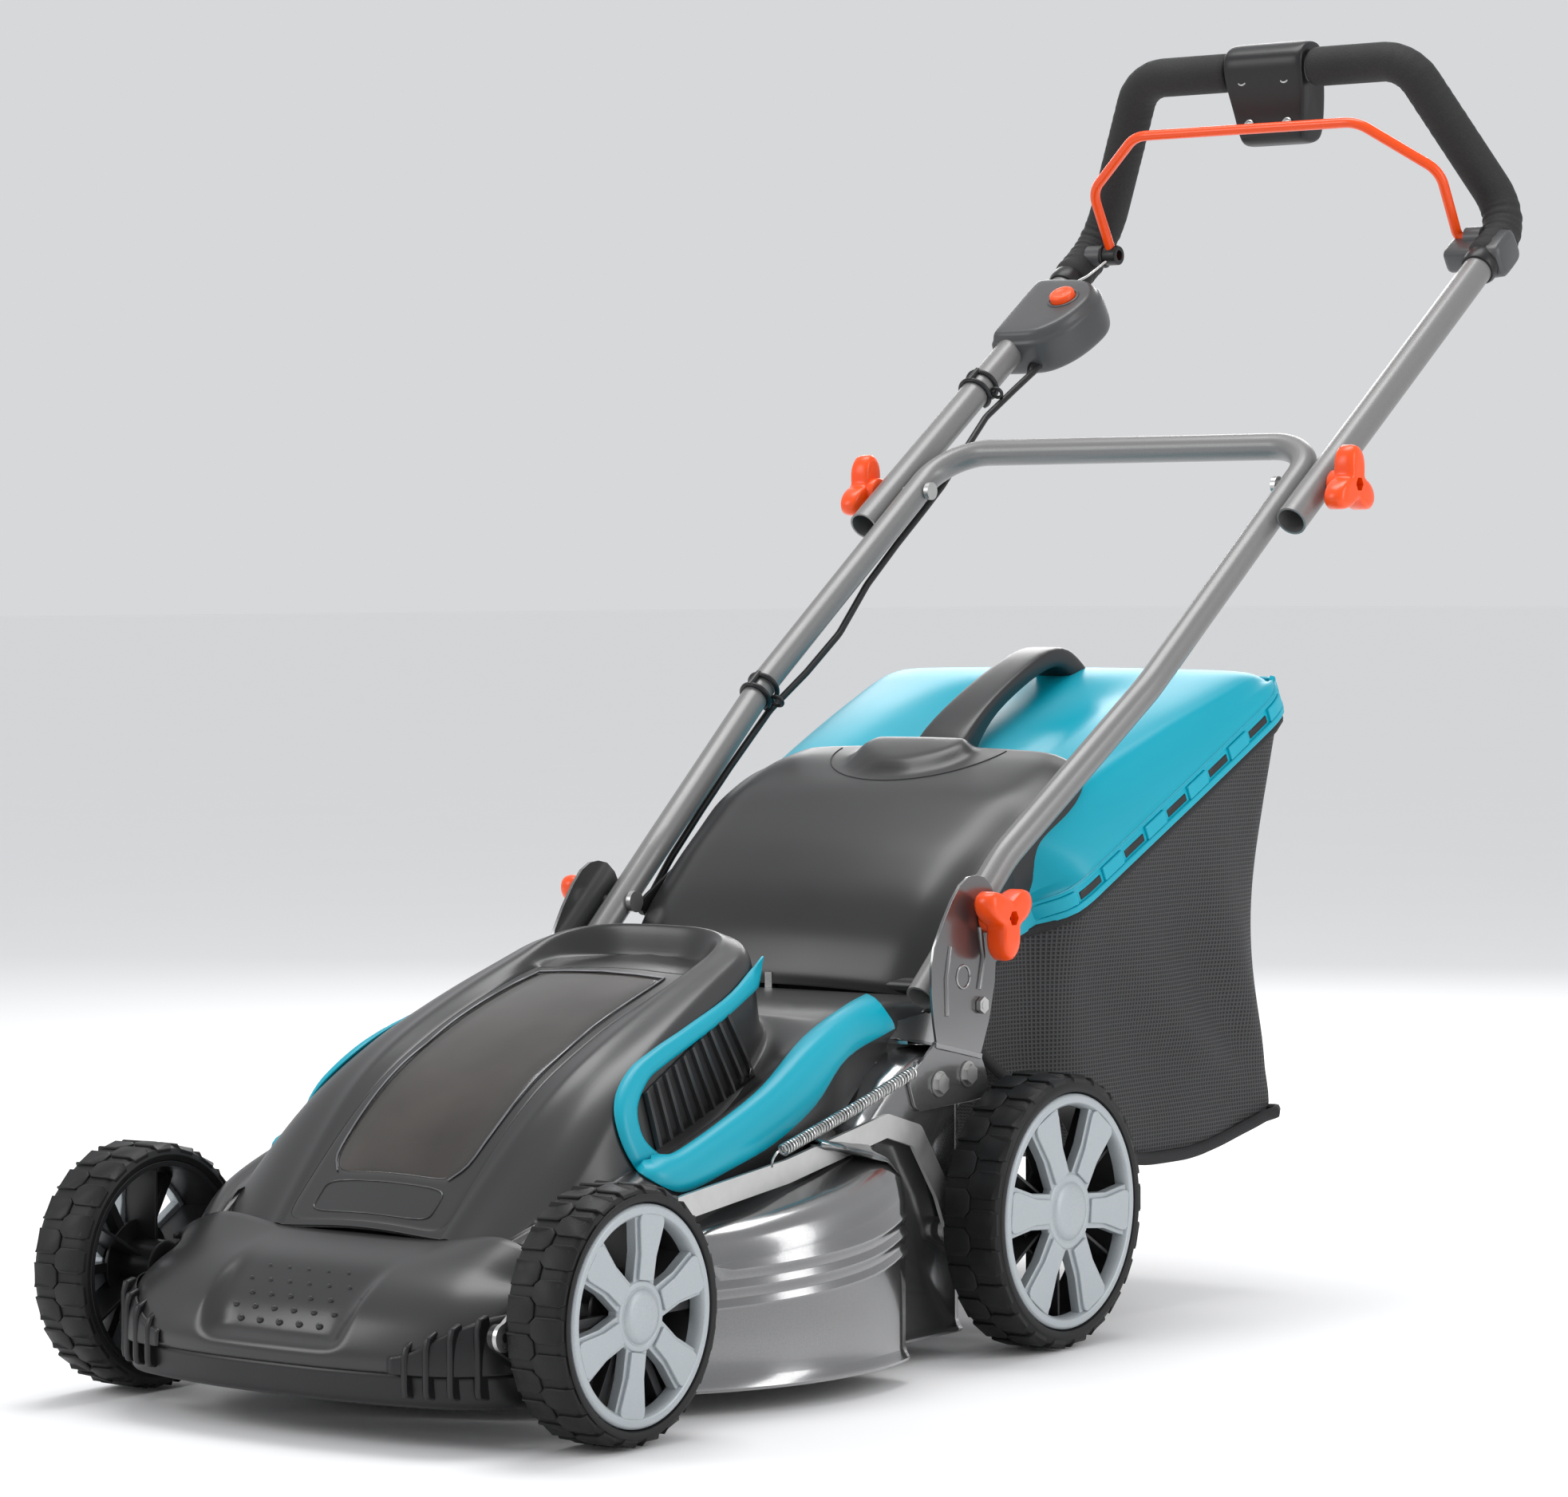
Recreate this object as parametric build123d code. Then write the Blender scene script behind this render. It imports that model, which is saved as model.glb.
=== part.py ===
from build123d import *
import os
from math import atan2, cos, degrees, radians, sin

# Cordless rotary lawn mower with a rear grass box, in millimetres. +X is the operator's right seen from
# the front, the nose points along -Y, +Z is up, and the wheels stand on z = 0.

# ---- driving dimensions -----------------------------------------------------------------------------------
WIDTH = 450                  # over the outer faces of the wheels
WHEEL_WIDTH = 48
FRONT_R, REAR_R = 82.5, 97.0
FRONT_Y, REAR_Y = -548, -60
SHEET = 3                    # pressed steel
SHELL = 3                    # moulded covers

SPINDLE_Y = -307
SKIRT_R = 218
BLADE_R = 173
BODY_HALF = 165              # flat sides of the deck behind the cutting chamber
NECK_HALF = 141              # what passes between the handle tubes
DECK_RIM_Z = 15

CRANK_BACK, CRANK_UP = 41, 28        # wheel stub from its cranked rod's own axis
LINK_BACK, LINK_UP = -35, 20         # link pin from the same axis
ROD_R = 6
CRANK_IN, CRANK_OUT = 168, 172       # crank plates, between the deck and the wheels
LINK_IN, LINK_OUT = 173, 176

LOWER_X, LOWER_R = 174, 10.5         # lower handle tube
FOOT_X = 154.5                        # the same tube, between the brackets
UPPER_X, UPPER_R = 197, 12           # upper handle tube
TUBE_WALL = 1.6
FOAM_R = 16.5
LOW_PIVOT = (-85, 302)               # (y, z) of the lower knob bolts
HIGH_PIVOT = (328, 609)              # (y, z) of the upper knob bolts
BOLT_R = 4
RUNNING = 0.08                       # radial clearance of a pin that turns

BAIL_PIVOT = (608, 812)
BAIL_R = 4.2
FLAP_PIVOT = (-103, 252)
LID_PIVOT = (-552, 119.5)

BOX_ORIGIN = (-70, 247)              # front lower edge of the grass box rim
BOX_SLOPE = 27.5                     # degrees
BOX_LENGTH = 430
BAG_WALL = 2.5

OUTER_X = WIDTH / 2
WHEEL_IN = OUTER_X - WHEEL_WIDTH
FRONT_ROD = (FRONT_Y - CRANK_BACK, FRONT_R - CRANK_UP)
REAR_ROD = (REAR_Y - CRANK_BACK, REAR_R - CRANK_UP)


# ---- small builders ---------------------------------------------------------------------------------------
def save(shape, node):
    """Write one named piece."""
    export_step(shape, f"parts/{node}.step")


def block(x0, x1, y0, y1, z0, z1):
    centre = Pos((x0 + x1) / 2, (y0 + y1) / 2, (z0 + z1) / 2)
    return centre * Box(x1 - x0, y1 - y0, z1 - z0)


def rod_x(x0, x1, at, radius):
    """Round bar across the mower; at is its (y, z)."""
    return Pos((x0 + x1) / 2, *at) * Rot(0, 90, 0) * Cylinder(radius, x1 - x0)


def rod_z(y, z0, z1, radius):
    return Pos(0, y, (z0 + z1) / 2) * Cylinder(radius, z1 - z0)


def hexagon(x, at, radius, half):
    """Hexagonal head or recess across the mower, half its thickness each side of x."""
    return Pos(x, *at) * Rot(0, 90, 0) * extrude(RegularPolygon(radius, 6), half, both=True)


def side_prism(outline, x0, x1):
    """(y, z) outline carried across from x0 to x1."""
    face = make_face(Polyline(*[(x0, y, z) for y, z in outline], close=True))
    return extrude(face, amount=x1 - x0, dir=(1, 0, 0))


def plan_prism(outline, z0, z1):
    """Outline of the +X half in (x, y), mirrored, carried up from z0 to z1."""
    ring = outline + [(-x, y) for x, y in reversed(outline)]
    face = make_face(Polyline(*[(x, y, z0) for x, y in ring], close=True))
    return extrude(face, amount=z1 - z0, dir=(0, 0, 1))


def tube(points, bends, radius, bore=0):
    """Round bar or tube along straight runs joined by arcs."""
    path = FilletPolyline(*points, radius=bends)
    start = Plane(origin=path @ 0, z_dir=path % 0)
    bar = sweep(start * Circle(radius), path=path)
    if bore:
        bar -= sweep(start * Circle(bore), path=path)
    return bar


def mirrored(shape):
    return mirror(shape, about=Plane.YZ)


def pair(shape):
    """The piece and its twin on the other side."""
    return Compound(children=[shape, mirrored(shape)])


def hoop(points, bends):
    """Points and bend radii of a bar that runs up one side, across and down the other."""
    other = [(-x, y, z) for x, y, z in reversed(points)]
    return points + other, bends + bends[::-1]


def offset_yz(at, angle, reach):
    return at[0] + reach * cos(radians(angle)), at[1] + reach * sin(radians(angle))


# ---- steel deck -------------------------------------------------------------------------------------------
SKIRT_TOP = [(-526, 116), (-435, 122), (-298, 139), (-241, 147)]
BODY_TOP = [(-450, 121), (-435, 122), (-298, 146), (-238, 177), (-175, 212)]
TUNNEL_TOP = [(-185, 200), (-165, 233), (-105, 238), (-62, 203)]
REAR_WALL = [(-62, 190), (-112, 112)]
NECK_TOP_Z = 214


def deck_outer(grow=0):
    """Outside of the pressed deck: round cutting chamber, flat-sided body and narrower outlet neck."""
    low = DECK_RIM_Z - grow
    skirt = rod_z(SPINDLE_Y, low, 170, SKIRT_R + grow)
    skirt &= side_prism([(-540, low)] + [(y, z + grow) for y, z in [(-540, 115)] + SKIRT_TOP]
                        + [(-241 + grow, low)], -230, 230)
    body = side_prism([(-450, low)] + [(y, z + grow) for y, z in BODY_TOP]
                      + [(-75, NECK_TOP_Z - 2 + grow)] + REAR_WALL + [(-112, low)],
                      -BODY_HALF - grow, BODY_HALF + grow)
    neck = side_prism([(-200, 100)] + [(y, z + grow) for y, z in TUNNEL_TOP] + REAR_WALL,
                      -NECK_HALF - grow, NECK_HALF + grow)
    return skirt + body + neck


def deck_housing():
    t = SHEET
    skirt = rod_z(SPINDLE_Y, 0, 170, SKIRT_R - t)
    skirt &= side_prism([(-540, 0)] + [(y, z - t) for y, z in [(-540, 115)] + SKIRT_TOP]
                        + [(-241 - t, 0)], -230, 230)
    body = side_prism([(-450, 0)] + [(y, z - t) for y, z in BODY_TOP]
                      + [(-84, NECK_TOP_Z - 5), (-65, 192), (-115, 113), (-115, 0)],
                      t - BODY_HALF, BODY_HALF - t)
    neck = side_prism([(-200, 100), (-183, 197), (-164, 230), (-104, 235), (-104, 260),
                       (-65, 260), (-65, 191), (-115, 112)], t - NECK_HALF, NECK_HALF - t)
    shelf = block(-140, 140, FRONT_ROD[0] - 15, -480, 97, 100)
    ears = [block(x - 3, x + 3, -112, -94, 232, 259) for x in (-132, 0, 132)]
    shell = deck_outer() + shelf - skirt - body - neck
    for ear in ears:
        shell += ear
    shell -= rod_x(-160, 160, FLAP_PIVOT, 4)
    return shell - rod_z(SPINDLE_Y, 100, 200, 8.5)


def undertray():
    """Black lower half of the front bumper, open at the top and the back."""
    outer = plan_prism([(0, -648), (70, -645), (125, -634), (158, -606), (160, -540)], 25, 50)
    inner = plan_prism([(0, -645), (69, -642), (123, -631), (155, -604), (157, -530)], 28, 60)
    slot = block(-95, 95, -660, -636, 30, 38)
    return outer - inner - slot - rod_x(-170, 170, FRONT_ROD, ROD_R + 3)


def nose_cover():
    outline = [(0, -649), (70, -646), (128, -634), (160, -606), (160, -557)]
    inner_line = [(0, -646), (69, -643), (126, -631), (157, -604), (157, -540)]
    profile = [(-650, 50), (-649, 84), (-640, 90), (-593, 112), (-557, 119.5), (-557, 50)]
    inner_profile = [(-648, 40), (-646, 82), (-638, 87.5), (-592, 109), (-550, 117), (-550, 40)]
    outer = plan_prism(outline, 50, 130) & side_prism(profile, -165, 165)
    inner = plan_prism(inner_line, 40, 130) & side_prism(inner_profile, -165, 165)
    return outer - inner - rod_x(-170, 170, FRONT_ROD, ROD_R + 3)


# ---- motor hood -------------------------------------------------------------------------------------------
# y, base half width and z, shoulder half width and z, roof half width and z
HOOD_RIBS = [(-556, 125, 100, 116, 113, 72, 121.5),
             (-520, 150, 105, 128, 142, 78, 157),
             (-470, 155, 108, 128, 184, 84, 200),
             (-420, 147, 112, 124, 216, 86, 230),
             (-350, 129, 118, 114, 246, 82, 260),
             (-290, 115, 122, 102, 269, 78, 281),
             (-232, 103, 126, 92, 288, 72, 303)]
LEDGE_TOP = [(-545, 130), (-500, 147), (-460, 160), (-425, 170), (-378, 183), (-322, 202), (-262, 229),
             (-201, 245), (-113, 246)]
LEDGE_PLAN = [(142, -545), (160, -520), (163, -430), (161, -330), (154, -240), (NECK_HALF, -180),
              (NECK_HALF, -113)]


def hood_rib(y, base, base_z, shoulder, shoulder_z, roof, roof_z):
    half = [(base, base_z), (shoulder, shoulder_z), (roof, roof_z)]
    ring = half + [(-x, z) for x, z in reversed(half)]
    return make_face(Polyline(*[(x, y, z) for x, z in ring], close=True))


def hood_outer():
    pod = loft([hood_rib(*rib) for rib in HOOD_RIBS], ruled=True)
    ledge = side_prism([(-545, 100)] + LEDGE_TOP + [(-113, 100)], -170, 170)
    return pod + (ledge & plan_prism(LEDGE_PLAN, 90, 260))


def hood_inner():
    t = SHELL
    ribs = []
    for y, base, base_z, shoulder, shoulder_z, roof, roof_z in HOOD_RIBS:
        ribs.append((y, base - t, base_z - 30, shoulder - t, shoulder_z - t, roof - t, roof_z - t))
    ribs[0] = (HOOD_RIBS[0][0] + t,) + ribs[0][1:]
    ribs[-1] = (HOOD_RIBS[-1][0] - t,) + ribs[-1][1:]
    pod = loft([hood_rib(*rib) for rib in ribs], ruled=True)
    top = [(y, z - t) for y, z in LEDGE_TOP]
    top[0], top[-1] = (LEDGE_TOP[0][0] + t, top[0][1]), (LEDGE_TOP[-1][0] - t, top[-1][1])
    ledge = side_prism([(top[0][0], 70)] + top + [(top[-1][0], 70)], -170, 170)
    ledge &= plan_prism([(x - t, y) for x, y in LEDGE_PLAN], 60, 260)
    return pod + ledge


def hood_shell():
    return hood_outer() - hood_inner() - deck_outer(0.4)


def lid_region(gap=0):
    """Everything over the battery door, seen from above."""
    return plan_prism([(66 + gap, -553 - gap), (69 + gap, -500), (68 + gap, -292 + gap)], 90, 320)


def window_region():
    return plan_prism([(48, -524), (56, -516), (58, -440), (54, -312), (46, -304)], 90, 320)


UPPER_ARM = [(-240, 292), (-304, 264), (-373, 247), (-462, 226), (-486, 207), (-488, 184), (-476, 160),
             (-452, 148), (-420, 162), (-438, 172), (-455, 184), (-455, 200), (-437, 213), (-373, 231),
             (-316, 246), (-246, 268)]
LOWER_ARM = [(-476, 160), (-452, 146), (-427, 143), (-383, 152), (-333, 165), (-280, 186), (-233, 214),
             (-169, 229), (-150, 236), (-150, 256), (-205, 256), (-268, 236), (-330, 206), (-384, 188),
             (-430, 178), (-455, 184)]
GRILLE_ZONE = [(-437, 178), (-452, 187), (-452, 199), (-436, 210), (-373, 228), (-316, 243), (-300, 243),
               (-274, 232), (-274, 226), (-322, 205), (-378, 186)]


def trim(shell):
    """One side's two-armed coloured trim strip."""
    upper = side_prism(UPPER_ARM, 84, 170)
    lower = side_prism(LOWER_ARM, 136, 170)
    return shell & (upper + lower)


def grille(shell):
    panel = shell & side_prism(GRILLE_ZONE, 90, 143)
    for step in range(9):
        y = -425 + 15.5 * step
        slot = side_prism([(y, 188 + 5 * step), (y + 7, 190 + 5 * step), (y + 4, 204 + 4.2 * step),
                           (y - 3, 202 + 4.2 * step)], 80, 170)
        panel -= slot
    return panel


def solid_of(shape):
    """The one real piece, without any sliver that a cut leaves beside it."""
    return max(shape.solids(), key=lambda piece: piece.volume)


def motor_hood(shell, pieces):
    """Grey cover with its lid, trims and grilles cut out, and the lid's hinge pin moulded in."""
    hood = shell - lid_region(0.5) - block(-69, 69, -557.5, -546, 112, 135)
    for piece in pieces:
        hood -= piece
    hood = solid_of(hood)
    ears = [block(x, x + 5, LID_PIVOT[0] - 4, -540, 108, LID_PIVOT[1] + 2) for x in (-73, 68)]
    pin = rod_x(-70, 70, LID_PIVOT, 2)
    for piece in ears + [pin]:
        hood += piece
    return hood


def battery_lid(shell):
    panel = solid_of(shell & lid_region())
    frame = panel - window_region()
    for x in (-55, 35):
        knuckle = rod_x(x, x + 20, LID_PIVOT, 3.6)
        arm = side_prism([(LID_PIVOT[0], 118), (LID_PIVOT[0] + 12, 124), (LID_PIVOT[0] + 12, 131),
                          (LID_PIVOT[0], 122)], x, x + 20)
        frame += knuckle + arm
    frame -= rod_x(-80, 80, LID_PIVOT, 2 + RUNNING)
    return frame, panel & window_region()


def rear_shelf():
    """Flat grey top between the hood and the flap."""
    plate = block(-118, 118, -228, -119, 246, 249)
    return plate - block(-70, 70, -214, -160, 248, 260)


def battery_pack():
    side = [(-492, 131), (-380, 137), (-380, 226), (-420, 214), (-492, 170)]
    return side_prism(side, -46, 46)


def motor_housing():
    can = rod_z(SPINDLE_Y, 136, 222, 52) - deck_outer(0.2)
    return can - rod_z(SPINDLE_Y, 90, 230, 8 + RUNNING)


# ---- cutting rotor ----------------------------------------------------------------------------------------
def motor_shaft():
    return rod_z(SPINDLE_Y, 46, 210, 8)


def blade():
    bar = Pos(0, SPINDLE_Y, 40) * Box(BLADE_R * 2, 46, 3)
    bar &= rod_z(SPINDLE_Y, 30, 50, BLADE_R)
    wing = Pos(BLADE_R - 34, SPINDLE_Y + 20, 45) * Rot(28, 0, 0) * Box(56, 22, 3)
    other = Pos(34 - BLADE_R, SPINDLE_Y - 20, 45) * Rot(-28, 0, 0) * Box(56, 22, 3)
    return bar + wing + other - rod_z(SPINDLE_Y, 30, 60, 5)


def blade_hub():
    """Flanged hub with fan vanes above the blade, and the centre bolt below it."""
    hub = rod_z(SPINDLE_Y, 41.5, 60, 26) - rod_z(SPINDLE_Y, 46, 70, 8)
    for turn in range(4):
        hub += Pos(0, SPINDLE_Y, 47) * Rot(0, 0, 45 + 90 * turn) * Pos(42, 0, 0) * Box(46, 3, 11)
    hub -= rod_z(SPINDLE_Y, 46, 70, 8)
    bolt = rod_z(SPINDLE_Y, 30, 38.5, 11) + rod_z(SPINDLE_Y, 36, 41.5, 5)
    return hub + bolt


# ---- running gear -----------------------------------------------------------------------------------------
def arm_plate(start, end, width, x0, x1):
    """Flat steel arm with round ends."""
    dy, dz = end[0] - start[0], end[1] - start[1]
    reach = (dy * dy + dz * dz) ** 0.5
    ny, nz = -dz / reach * width / 2, dy / reach * width / 2
    sides = [(start[0] + ny, start[1] + nz), (end[0] + ny, end[1] + nz),
             (end[0] - ny, end[1] - nz), (start[0] - ny, start[1] - nz)]
    return side_prism(sides, x0, x1) + rod_x(x0, x1, start, width / 2) + rod_x(x0, x1, end, width / 2)


def cranked_rod(rod, stub):
    """Rod across the deck with a crank plate, a wheel stub at each end and the link's pin at the right."""
    bar = rod_x(-CRANK_OUT, CRANK_OUT, rod, ROD_R)
    side = arm_plate(rod, stub, 20, CRANK_IN, CRANK_OUT) + rod_x(CRANK_IN, OUTER_X - 12, stub, ROD_R)
    pin = (rod[0] + LINK_BACK, rod[1] + LINK_UP)
    lever = arm_plate(rod, pin, 16, CRANK_IN, CRANK_OUT) + rod_x(CRANK_OUT, LINK_OUT + 0.5, pin, 3)
    return bar + side + mirrored(side) + lever


LEVER_REACH = 166
GRIP_LOW, GRIP_TOP = 150, 184         # lever grip, from the rear rod's axis
LEVER_ANGLE = 140


def height_lever():
    """Flat lever on the left end of the rear rod, with a plastic grip."""
    top = offset_yz(REAR_ROD, LEVER_ANGLE, LEVER_REACH)
    return arm_plate(REAR_ROD, top, 14, -176.2, -173.2) + rod_x(-173.2, -CRANK_OUT, REAR_ROD, 8)


def lever_grip():
    low = offset_yz(REAR_ROD, LEVER_ANGLE, GRIP_LOW)
    top = offset_yz(REAR_ROD, LEVER_ANGLE, GRIP_TOP)
    grip = arm_plate(low, top, 24, -198, -176.2)
    return fillet(grip.faces().sort_by(Axis.X)[0].edges(), 5)


def height_quadrant():
    """Notched arc on the left side that the height lever moves over."""
    plate = rod_x(-171.5, -168, REAR_ROD, 113) - rod_x(-175, -160, REAR_ROD, 96)
    wedge = [REAR_ROD, offset_yz(REAR_ROD, 84, 180), offset_yz(REAR_ROD, 115, 200),
             offset_yz(REAR_ROD, 148, 180)]
    plate &= side_prism(wedge, -180, -160)
    feet = [rod_x(-168, -BODY_HALF, offset_yz(REAR_ROD, angle, 104), 6) for angle in (118, 142)]
    for foot in feet:
        plate += foot
    for angle in range(92, 146, 9):
        plate -= rod_x(-175, -160, offset_yz(REAR_ROD, angle, 113), 3)
    return plate


def height_link():
    """Bent flat bar that joins the two cranked rods on the right side."""
    front = (FRONT_ROD[0] + LINK_BACK, FRONT_ROD[1] + LINK_UP)
    rear = (REAR_ROD[0] + LINK_BACK, REAR_ROD[1] + LINK_UP)
    route = [front, (-560, 118), (-440, 136), (-330, 148), (-215, 168), (-180, 158), (-150, 118), rear]
    bar = rod_x(LINK_IN, LINK_OUT, front, 9) + rod_x(LINK_IN, LINK_OUT, rear, 9)
    for start, end in zip(route, route[1:]):
        bar += arm_plate(start, end, 16, LINK_IN, LINK_OUT)
    bar -= rod_x(170, 180, front, 3 + RUNNING)
    return bar - rod_x(170, 180, rear, 3.3)


def axle_clamps():
    """Saddles that hold both cranked rods to the deck."""
    saddles = []
    for x in (-100, 80):
        front = block(x, x + 20, FRONT_ROD[0] - 11, FRONT_ROD[0] + 11, FRONT_ROD[1] - 11, 97)
        rear = block(x, x + 20, -112, REAR_ROD[0] + 11, REAR_ROD[1] - 11, REAR_ROD[1] + 11)
        saddles.append(front - rod_x(-120, 120, FRONT_ROD, ROD_R + RUNNING))
        saddles.append(rear - rod_x(-120, 120, REAR_ROD, ROD_R + RUNNING))
    return Compound(children=saddles)


def tyre(radius, at):
    ring = rod_x(WHEEL_IN, OUTER_X - 1, at, radius)
    ring = fillet(ring.edges().filter_by(GeomType.CIRCLE), 5)
    return ring - rod_x(0, 300, at, radius * 0.852)


def wheel_disc(radius, at):
    """Ribbed wheel with a spoked cover: rim, web, six spokes, hub and stub bore."""
    rim = radius * 0.852
    drum = rod_x(WHEEL_IN + 2, OUTER_X, at, rim) - rod_x(0, 300, at, rim - 5)
    web = rod_x(OUTER_X - 24, OUTER_X - 19, at, rim)
    hub = rod_x(WHEEL_IN - 0.7, OUTER_X - 2, at, 17)
    wheel = drum + hub
    for step in range(6):
        angle = 30 + 60 * step
        inner, outer = offset_yz(at, angle, 12), offset_yz(at, angle, rim - 13)
        wheel += arm_plate(inner, outer, 20, OUTER_X - 14, OUTER_X - 2)
    wheel += web
    for step in range(6):
        inner, outer = offset_yz(at, 60 * step, rim * 0.48), offset_yz(at, 60 * step, rim * 0.72)
        wheel -= arm_plate(inner, outer, 20, OUTER_X - 30, OUTER_X + 5)
    return wheel - rod_x(0, OUTER_X - 11.5, at, ROD_R + RUNNING)


# ---- handle brackets --------------------------------------------------------------------------------------
BRACKET_FOOT = [(-177, 200), (-168, 173), (-79, 176), (-90, 206), (-144, 219)]
BRACKET_EAR = [(-144, 214), (-151, 250), (-149, 282), (-116, 326), (-98, 332), (-80, 328), (-70, 312),
               (-73, 256), (-92, 204)]
FOOT_BOLTS = [(-107, 194), (-142, 190)]
STOP_NUT = (-92, 241)


def handle_bracket():
    foot = side_prism(BRACKET_FOOT, BODY_HALF, BODY_HALF + SHEET)
    step = side_prism([(-144, 213), (-144, 219), (-90, 206), (-92, 203)], BODY_HALF, BODY_HALF + SHEET + 1)
    ear = side_prism(BRACKET_EAR, BODY_HALF + 1, BODY_HALF + SHEET + 1)
    plate = foot + step + ear
    plate -= rod_x(160, 180, LOW_PIVOT, BOLT_R)
    for at in FOOT_BOLTS:
        plate -= rod_x(160, 180, at, BOLT_R)
    return plate - rod_x(160, 180, STOP_NUT, 3)


def bracket_bolts():
    """Hexagon flange bolts through the bracket feet, stop nuts, and the two pivot bolts."""
    pieces = []
    for at in FOOT_BOLTS:
        head = rod_x(168, 169.2, at, 9) + hexagon(170.8, at, 7, 1.6)
        pieces.append(head + rod_x(165, 168, at, BOLT_R))
    pieces.append(hexagon(170.8, STOP_NUT, 6, 1.7) + rod_x(166, 172.8, STOP_NUT, 3))
    inner = FOOT_X - LOWER_R - 0.3
    pieces.append(rod_x(inner - 4, inner, LOW_PIVOT, 8) + rod_x(inner, LOWER_KNOB_X + 18, LOW_PIVOT, BOLT_R))
    return Compound(children=[item for piece in pieces for item in (piece, mirrored(piece))])


def counter_spring():
    """Closed cylinder of the tension spring that helps to lift the deck."""
    return tube([(174.5, -344, 163.5), (174.5, -270, 181), (174.5, -186, 203)], 60, 4.5)


# ---- flap -------------------------------------------------------------------------------------------------
FLAP_LINE = [(-110, 259), (-100, 284), (-75, 318), (-36, 351), (15, 385), (66, 406)]


def flap():
    """Curved rear flap, narrow between the handle tubes, with hinge knuckles along its lower edge."""
    under = [(y + 2.2, z - 3) for y, z in FLAP_LINE]
    sheet = side_prism(FLAP_LINE + under[::-1], -150, 150)
    sheet &= plan_prism([(138, -130), (138, -50), (147, 20), (147, 62), (136, 90)], 200, 460)
    for x0, x1 in ((-127, -6), (6, 127)):
        sheet += rod_x(x0, x1, FLAP_PIVOT, 7) + block(x0, x1, -110, -105, 252, 262)
    sheet -= rod_x(-160, 160, FLAP_PIVOT, 4 + RUNNING)
    for x in (-132, 0, 132):
        sheet -= block(x - 4.5, x + 4.5, -125, -85, 235, 264)
    return sheet


def flap_rod():
    return rod_x(-137, 137, FLAP_PIVOT, 4)


# ---- grass box --------------------------------------------------------------------------------------------
def tilted_frame(origin, slope):
    """Plane whose x runs across the mower and whose y climbs to the rear at that slope."""
    up = (0, -sin(radians(slope)), cos(radians(slope)))
    return Plane(origin=origin, x_dir=(1, 0, 0), z_dir=up)


BOX_FRAME = tilted_frame((0, *BOX_ORIGIN), BOX_SLOPE)


def box_solid(inset):
    """Lid volume in the tilted frame: local x across, y up the slope, z away from the rim."""
    length = BOX_LENGTH - inset
    start = 0 if inset == 0 else -6
    rim = [(138 - inset, start), (138 - inset, 98), (172 - inset, 128), (186 - inset, length - 40),
           (172 - inset, length)]
    roof = [(128 - inset, start), (128 - inset, 98), (140 - inset, 128), (150 - inset, length - 40),
            (140 - inset, length)]
    low, high = 18, 66
    base = plan_prism(rim, -1 - inset, low)
    top = loft([plan_face(rim, low), plan_face(roof, high)], ruled=True)
    line = [(start, -6), (start, 40), (30, 51), (110, 62), (200, 60), (368, 40), (length, 30), (length, -6)]
    if inset == 0:
        line[0], line[-1] = (0, 0), (length, 0)
    roofline = side_prism([(u, w - inset if w > 0 else w) for u, w in line], -190, 190)
    return (base + top) & roofline


def plan_face(outline, z):
    ring = outline + [(-x, y) for x, y in reversed(outline)]
    return make_face(Polyline(*[(x, y, z) for x, y in ring], close=True))


def box_lid():
    return BOX_FRAME.location * (box_solid(0) - box_solid(SHELL))


def box_handle():
    """Arched carrying handle on top of the lid."""
    outer = [(98, 405), (104, 424), (126, 440), (236, 487), (262, 486), (296, 472), (300, 462)]
    inner = [(276, 464), (262, 474), (240, 475), (136, 430), (124, 414)]
    bar = side_prism(outer + inner, -15, 15)
    return bar - BOX_FRAME.location * box_solid(-0.2)


BAG_SIDE = [(-73, 218), (93, 113), (190, 110), (284, 134), (268, 240), (276, 330), (298, 437)]


def bag_solid(inset):
    rim = [(-70 + 0.4, 246.6), (303, 440.8)]
    centre_y, centre_z = 120, 250
    side = []
    for y, z in BAG_SIDE:
        inward = inset if y < centre_y else -inset
        side.append((y + inward, z + inset if z < centre_z else z))
    if inset:
        rim = [(-70 + inset, 262), (303 - inset, 456)]
    volume = side_prism(side + rim[::-1], -200, 200)
    plan = [(136 - inset, -90), (136 - inset, 22), (165 - inset, 52), (179 - inset, 150), (181 - inset, 320)]
    return volume & plan_prism(plan, 90, 480)


def grass_bag():
    above = BOX_FRAME.location * plan_prism([(220, -80), (220, 500)], -0.2, 200)
    return bag_solid(0) - bag_solid(BAG_WALL) - above


# ---- handles ----------------------------------------------------------------------------------------------
LOWER_POINTS = [(FOOT_X, -145, 249), (FOOT_X, -40, 342), (LOWER_X, 120, 458), (LOWER_X, 372, 640)]
UPPER_LOW, UPPER_KNEE = (287, 581), (641, 826)
UPPER_POINTS = [(UPPER_X, *UPPER_LOW), (UPPER_X, *UPPER_KNEE), (126, 593, 957)]
UPPER_RISE = (UPPER_KNEE[1] - UPPER_LOW[1]) / (UPPER_KNEE[0] - UPPER_LOW[0])
UPPER_SLOPE = degrees(atan2(UPPER_RISE, 1))


def on_upper_run(y):
    """(y, z) on the long straight run of the upper tube."""
    return y, UPPER_LOW[1] + (y - UPPER_LOW[0]) * UPPER_RISE


def lower_tube():
    points, bends = hoop(LOWER_POINTS, [150, 200, 42])
    bar = tube(points, bends, LOWER_R, LOWER_R - TUBE_WALL)
    bar -= rod_x(-200, 200, LOW_PIVOT, BOLT_R + RUNNING)
    return bar - rod_x(-200, 200, HIGH_PIVOT, BOLT_R)


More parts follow.
